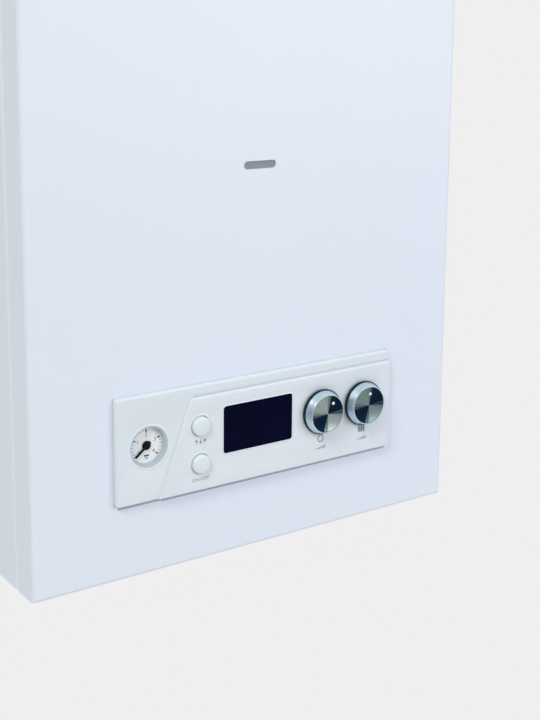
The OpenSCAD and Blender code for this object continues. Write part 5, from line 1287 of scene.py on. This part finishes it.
# The stage: a plain pale floor, a plain pale background and three soft lamps.
# The key comes from the front right, the fill from above on the left, and the third from behind.
# The camera stands where the photograph was taken, with its lens and its frame.
BACKGROUND = "efefef"
FLOOR_Z = -1.9
FLOOR_HALF = 60.0
FRAME_H = 720
FOCAL_PX = 1278.4
AXIS_ROW_PX = 240
CAMERA_PLACE = (-0.5581, -1.1216, -0.2185)
CAMERA_YAW, CAMERA_PITCH, CAMERA_ROLL = 34.65, 10.38, 0.45


def seen_directly(tree):
    """1 for rays from the camera or through glass, and 0 for light and reflections."""
    path = add_node(tree, "ShaderNodeLightPath")
    either = add_node(tree, "ShaderNodeMath", {0: path.outputs["Is Camera Ray"],
                                               1: path.outputs["Is Transmission Ray"]},
                      operation="MAXIMUM")
    return either.outputs["Value"]


world = bpy.data.worlds.new("studio")
bpy.context.scene.world = world
world.use_nodes = True
tree = world.node_tree
tree.nodes.clear()
direction = add_node(tree, "ShaderNodeTexCoord")
axes = add_node(tree, "ShaderNodeSeparateXYZ", {"Vector": direction.outputs["Generated"]})
level = add_node(tree, "ShaderNodeMapRange", {"Value": axes.outputs["Z"], "From Min": -1.0,
                                              "To Min": 0.16, "To Max": 0.74})
light = add_node(tree, "ShaderNodeBackground", {"Color": linear("ffffff"),
                                                "Strength": level.outputs["Result"]})
plain = add_node(tree, "ShaderNodeBackground", {"Color": linear(BACKGROUND), "Strength": 1.0})
both = add_node(tree, "ShaderNodeMixShader", {0: seen_directly(tree),
                                              1: light.outputs["Background"],
                                              2: plain.outputs["Background"]})
add_node(tree, "ShaderNodeOutputWorld", {"Surface": both.outputs["Shader"]})

floor_paint, tree, shader = new_finish("plain_floor", "d4d4d4", 0.9)
glow = add_node(tree, "ShaderNodeEmission", {"Color": linear(BACKGROUND), "Strength": 1.0})
seen = add_node(tree, "ShaderNodeMixShader", {0: seen_directly(tree), 1: shader.outputs["BSDF"],
                                              2: glow.outputs["Emission"]})
tree.links.new(seen.outputs["Shader"], tree.nodes["Material Output"].inputs["Surface"])
bm = bmesh.new()
bmesh.ops.create_grid(bm, x_segments=8, y_segments=8, size=FLOOR_HALF,
                      matrix=Matrix.Translation((0, 0, FLOOR_Z)))
mesh = bpy.data.meshes.new("floor")
bm.to_mesh(mesh)
bm.free()
mesh.materials.append(floor_paint)
floor = bpy.data.objects.new("floor", mesh)
bpy.context.scene.collection.objects.link(floor)


def soft_lamp(name, place, aim, size, power, colour):
    """A square soft lamp that faces a point."""
    data = bpy.data.lights.new(name, "AREA")
    data.size = size
    data.energy = power
    data.color = linear(colour)[:3]
    lamp = bpy.data.objects.new(name, data)
    lamp.location = place
    lamp.rotation_euler = (Vector(aim) - Vector(place)).to_track_quat("-Z", "Y").to_euler()
    bpy.context.scene.collection.objects.link(lamp)


MIDDLE = (0, -0.15, -0.3)
soft_lamp("key", (2.6, -3.8, 0.5), MIDDLE, 2.6, 58, "fbfcff")
soft_lamp("fill", (-2.9, -2.1, 2.7), MIDDLE, 1.3, 92, "f8feea")
soft_lamp("rear", (1.9, 3.6, 1.9), MIDDLE, 2.4, 80, "fffdfa")

yaw, pitch, roll = (math.radians(a) for a in (CAMERA_YAW, CAMERA_PITCH, CAMERA_ROLL))
forward = Vector((math.sin(yaw) * math.cos(pitch), math.cos(yaw) * math.cos(pitch),
                  -math.sin(pitch)))
level_right = Vector((math.cos(yaw), -math.sin(yaw), 0))
level_up = level_right.cross(forward)
right = level_right * math.cos(roll) + level_up * math.sin(roll)
up = level_up * math.cos(roll) - level_right * math.sin(roll)
data = bpy.data.cameras.new("camera")
data.sensor_width = 36.0
data.lens = FOCAL_PX * data.sensor_width / FRAME_H
data.shift_y = (AXIS_ROW_PX - FRAME_H / 2) / FRAME_H
data.clip_start = 0.05
data.clip_end = 200.0
camera = bpy.data.objects.new("camera", data)
camera.matrix_world = (Matrix.Translation(CAMERA_PLACE)
                       @ Matrix((right, up, -forward)).transposed().to_4x4())
bpy.context.scene.collection.objects.link(camera)
bpy.context.scene.camera = camera
bpy.context.scene.view_settings.view_transform = "Standard"
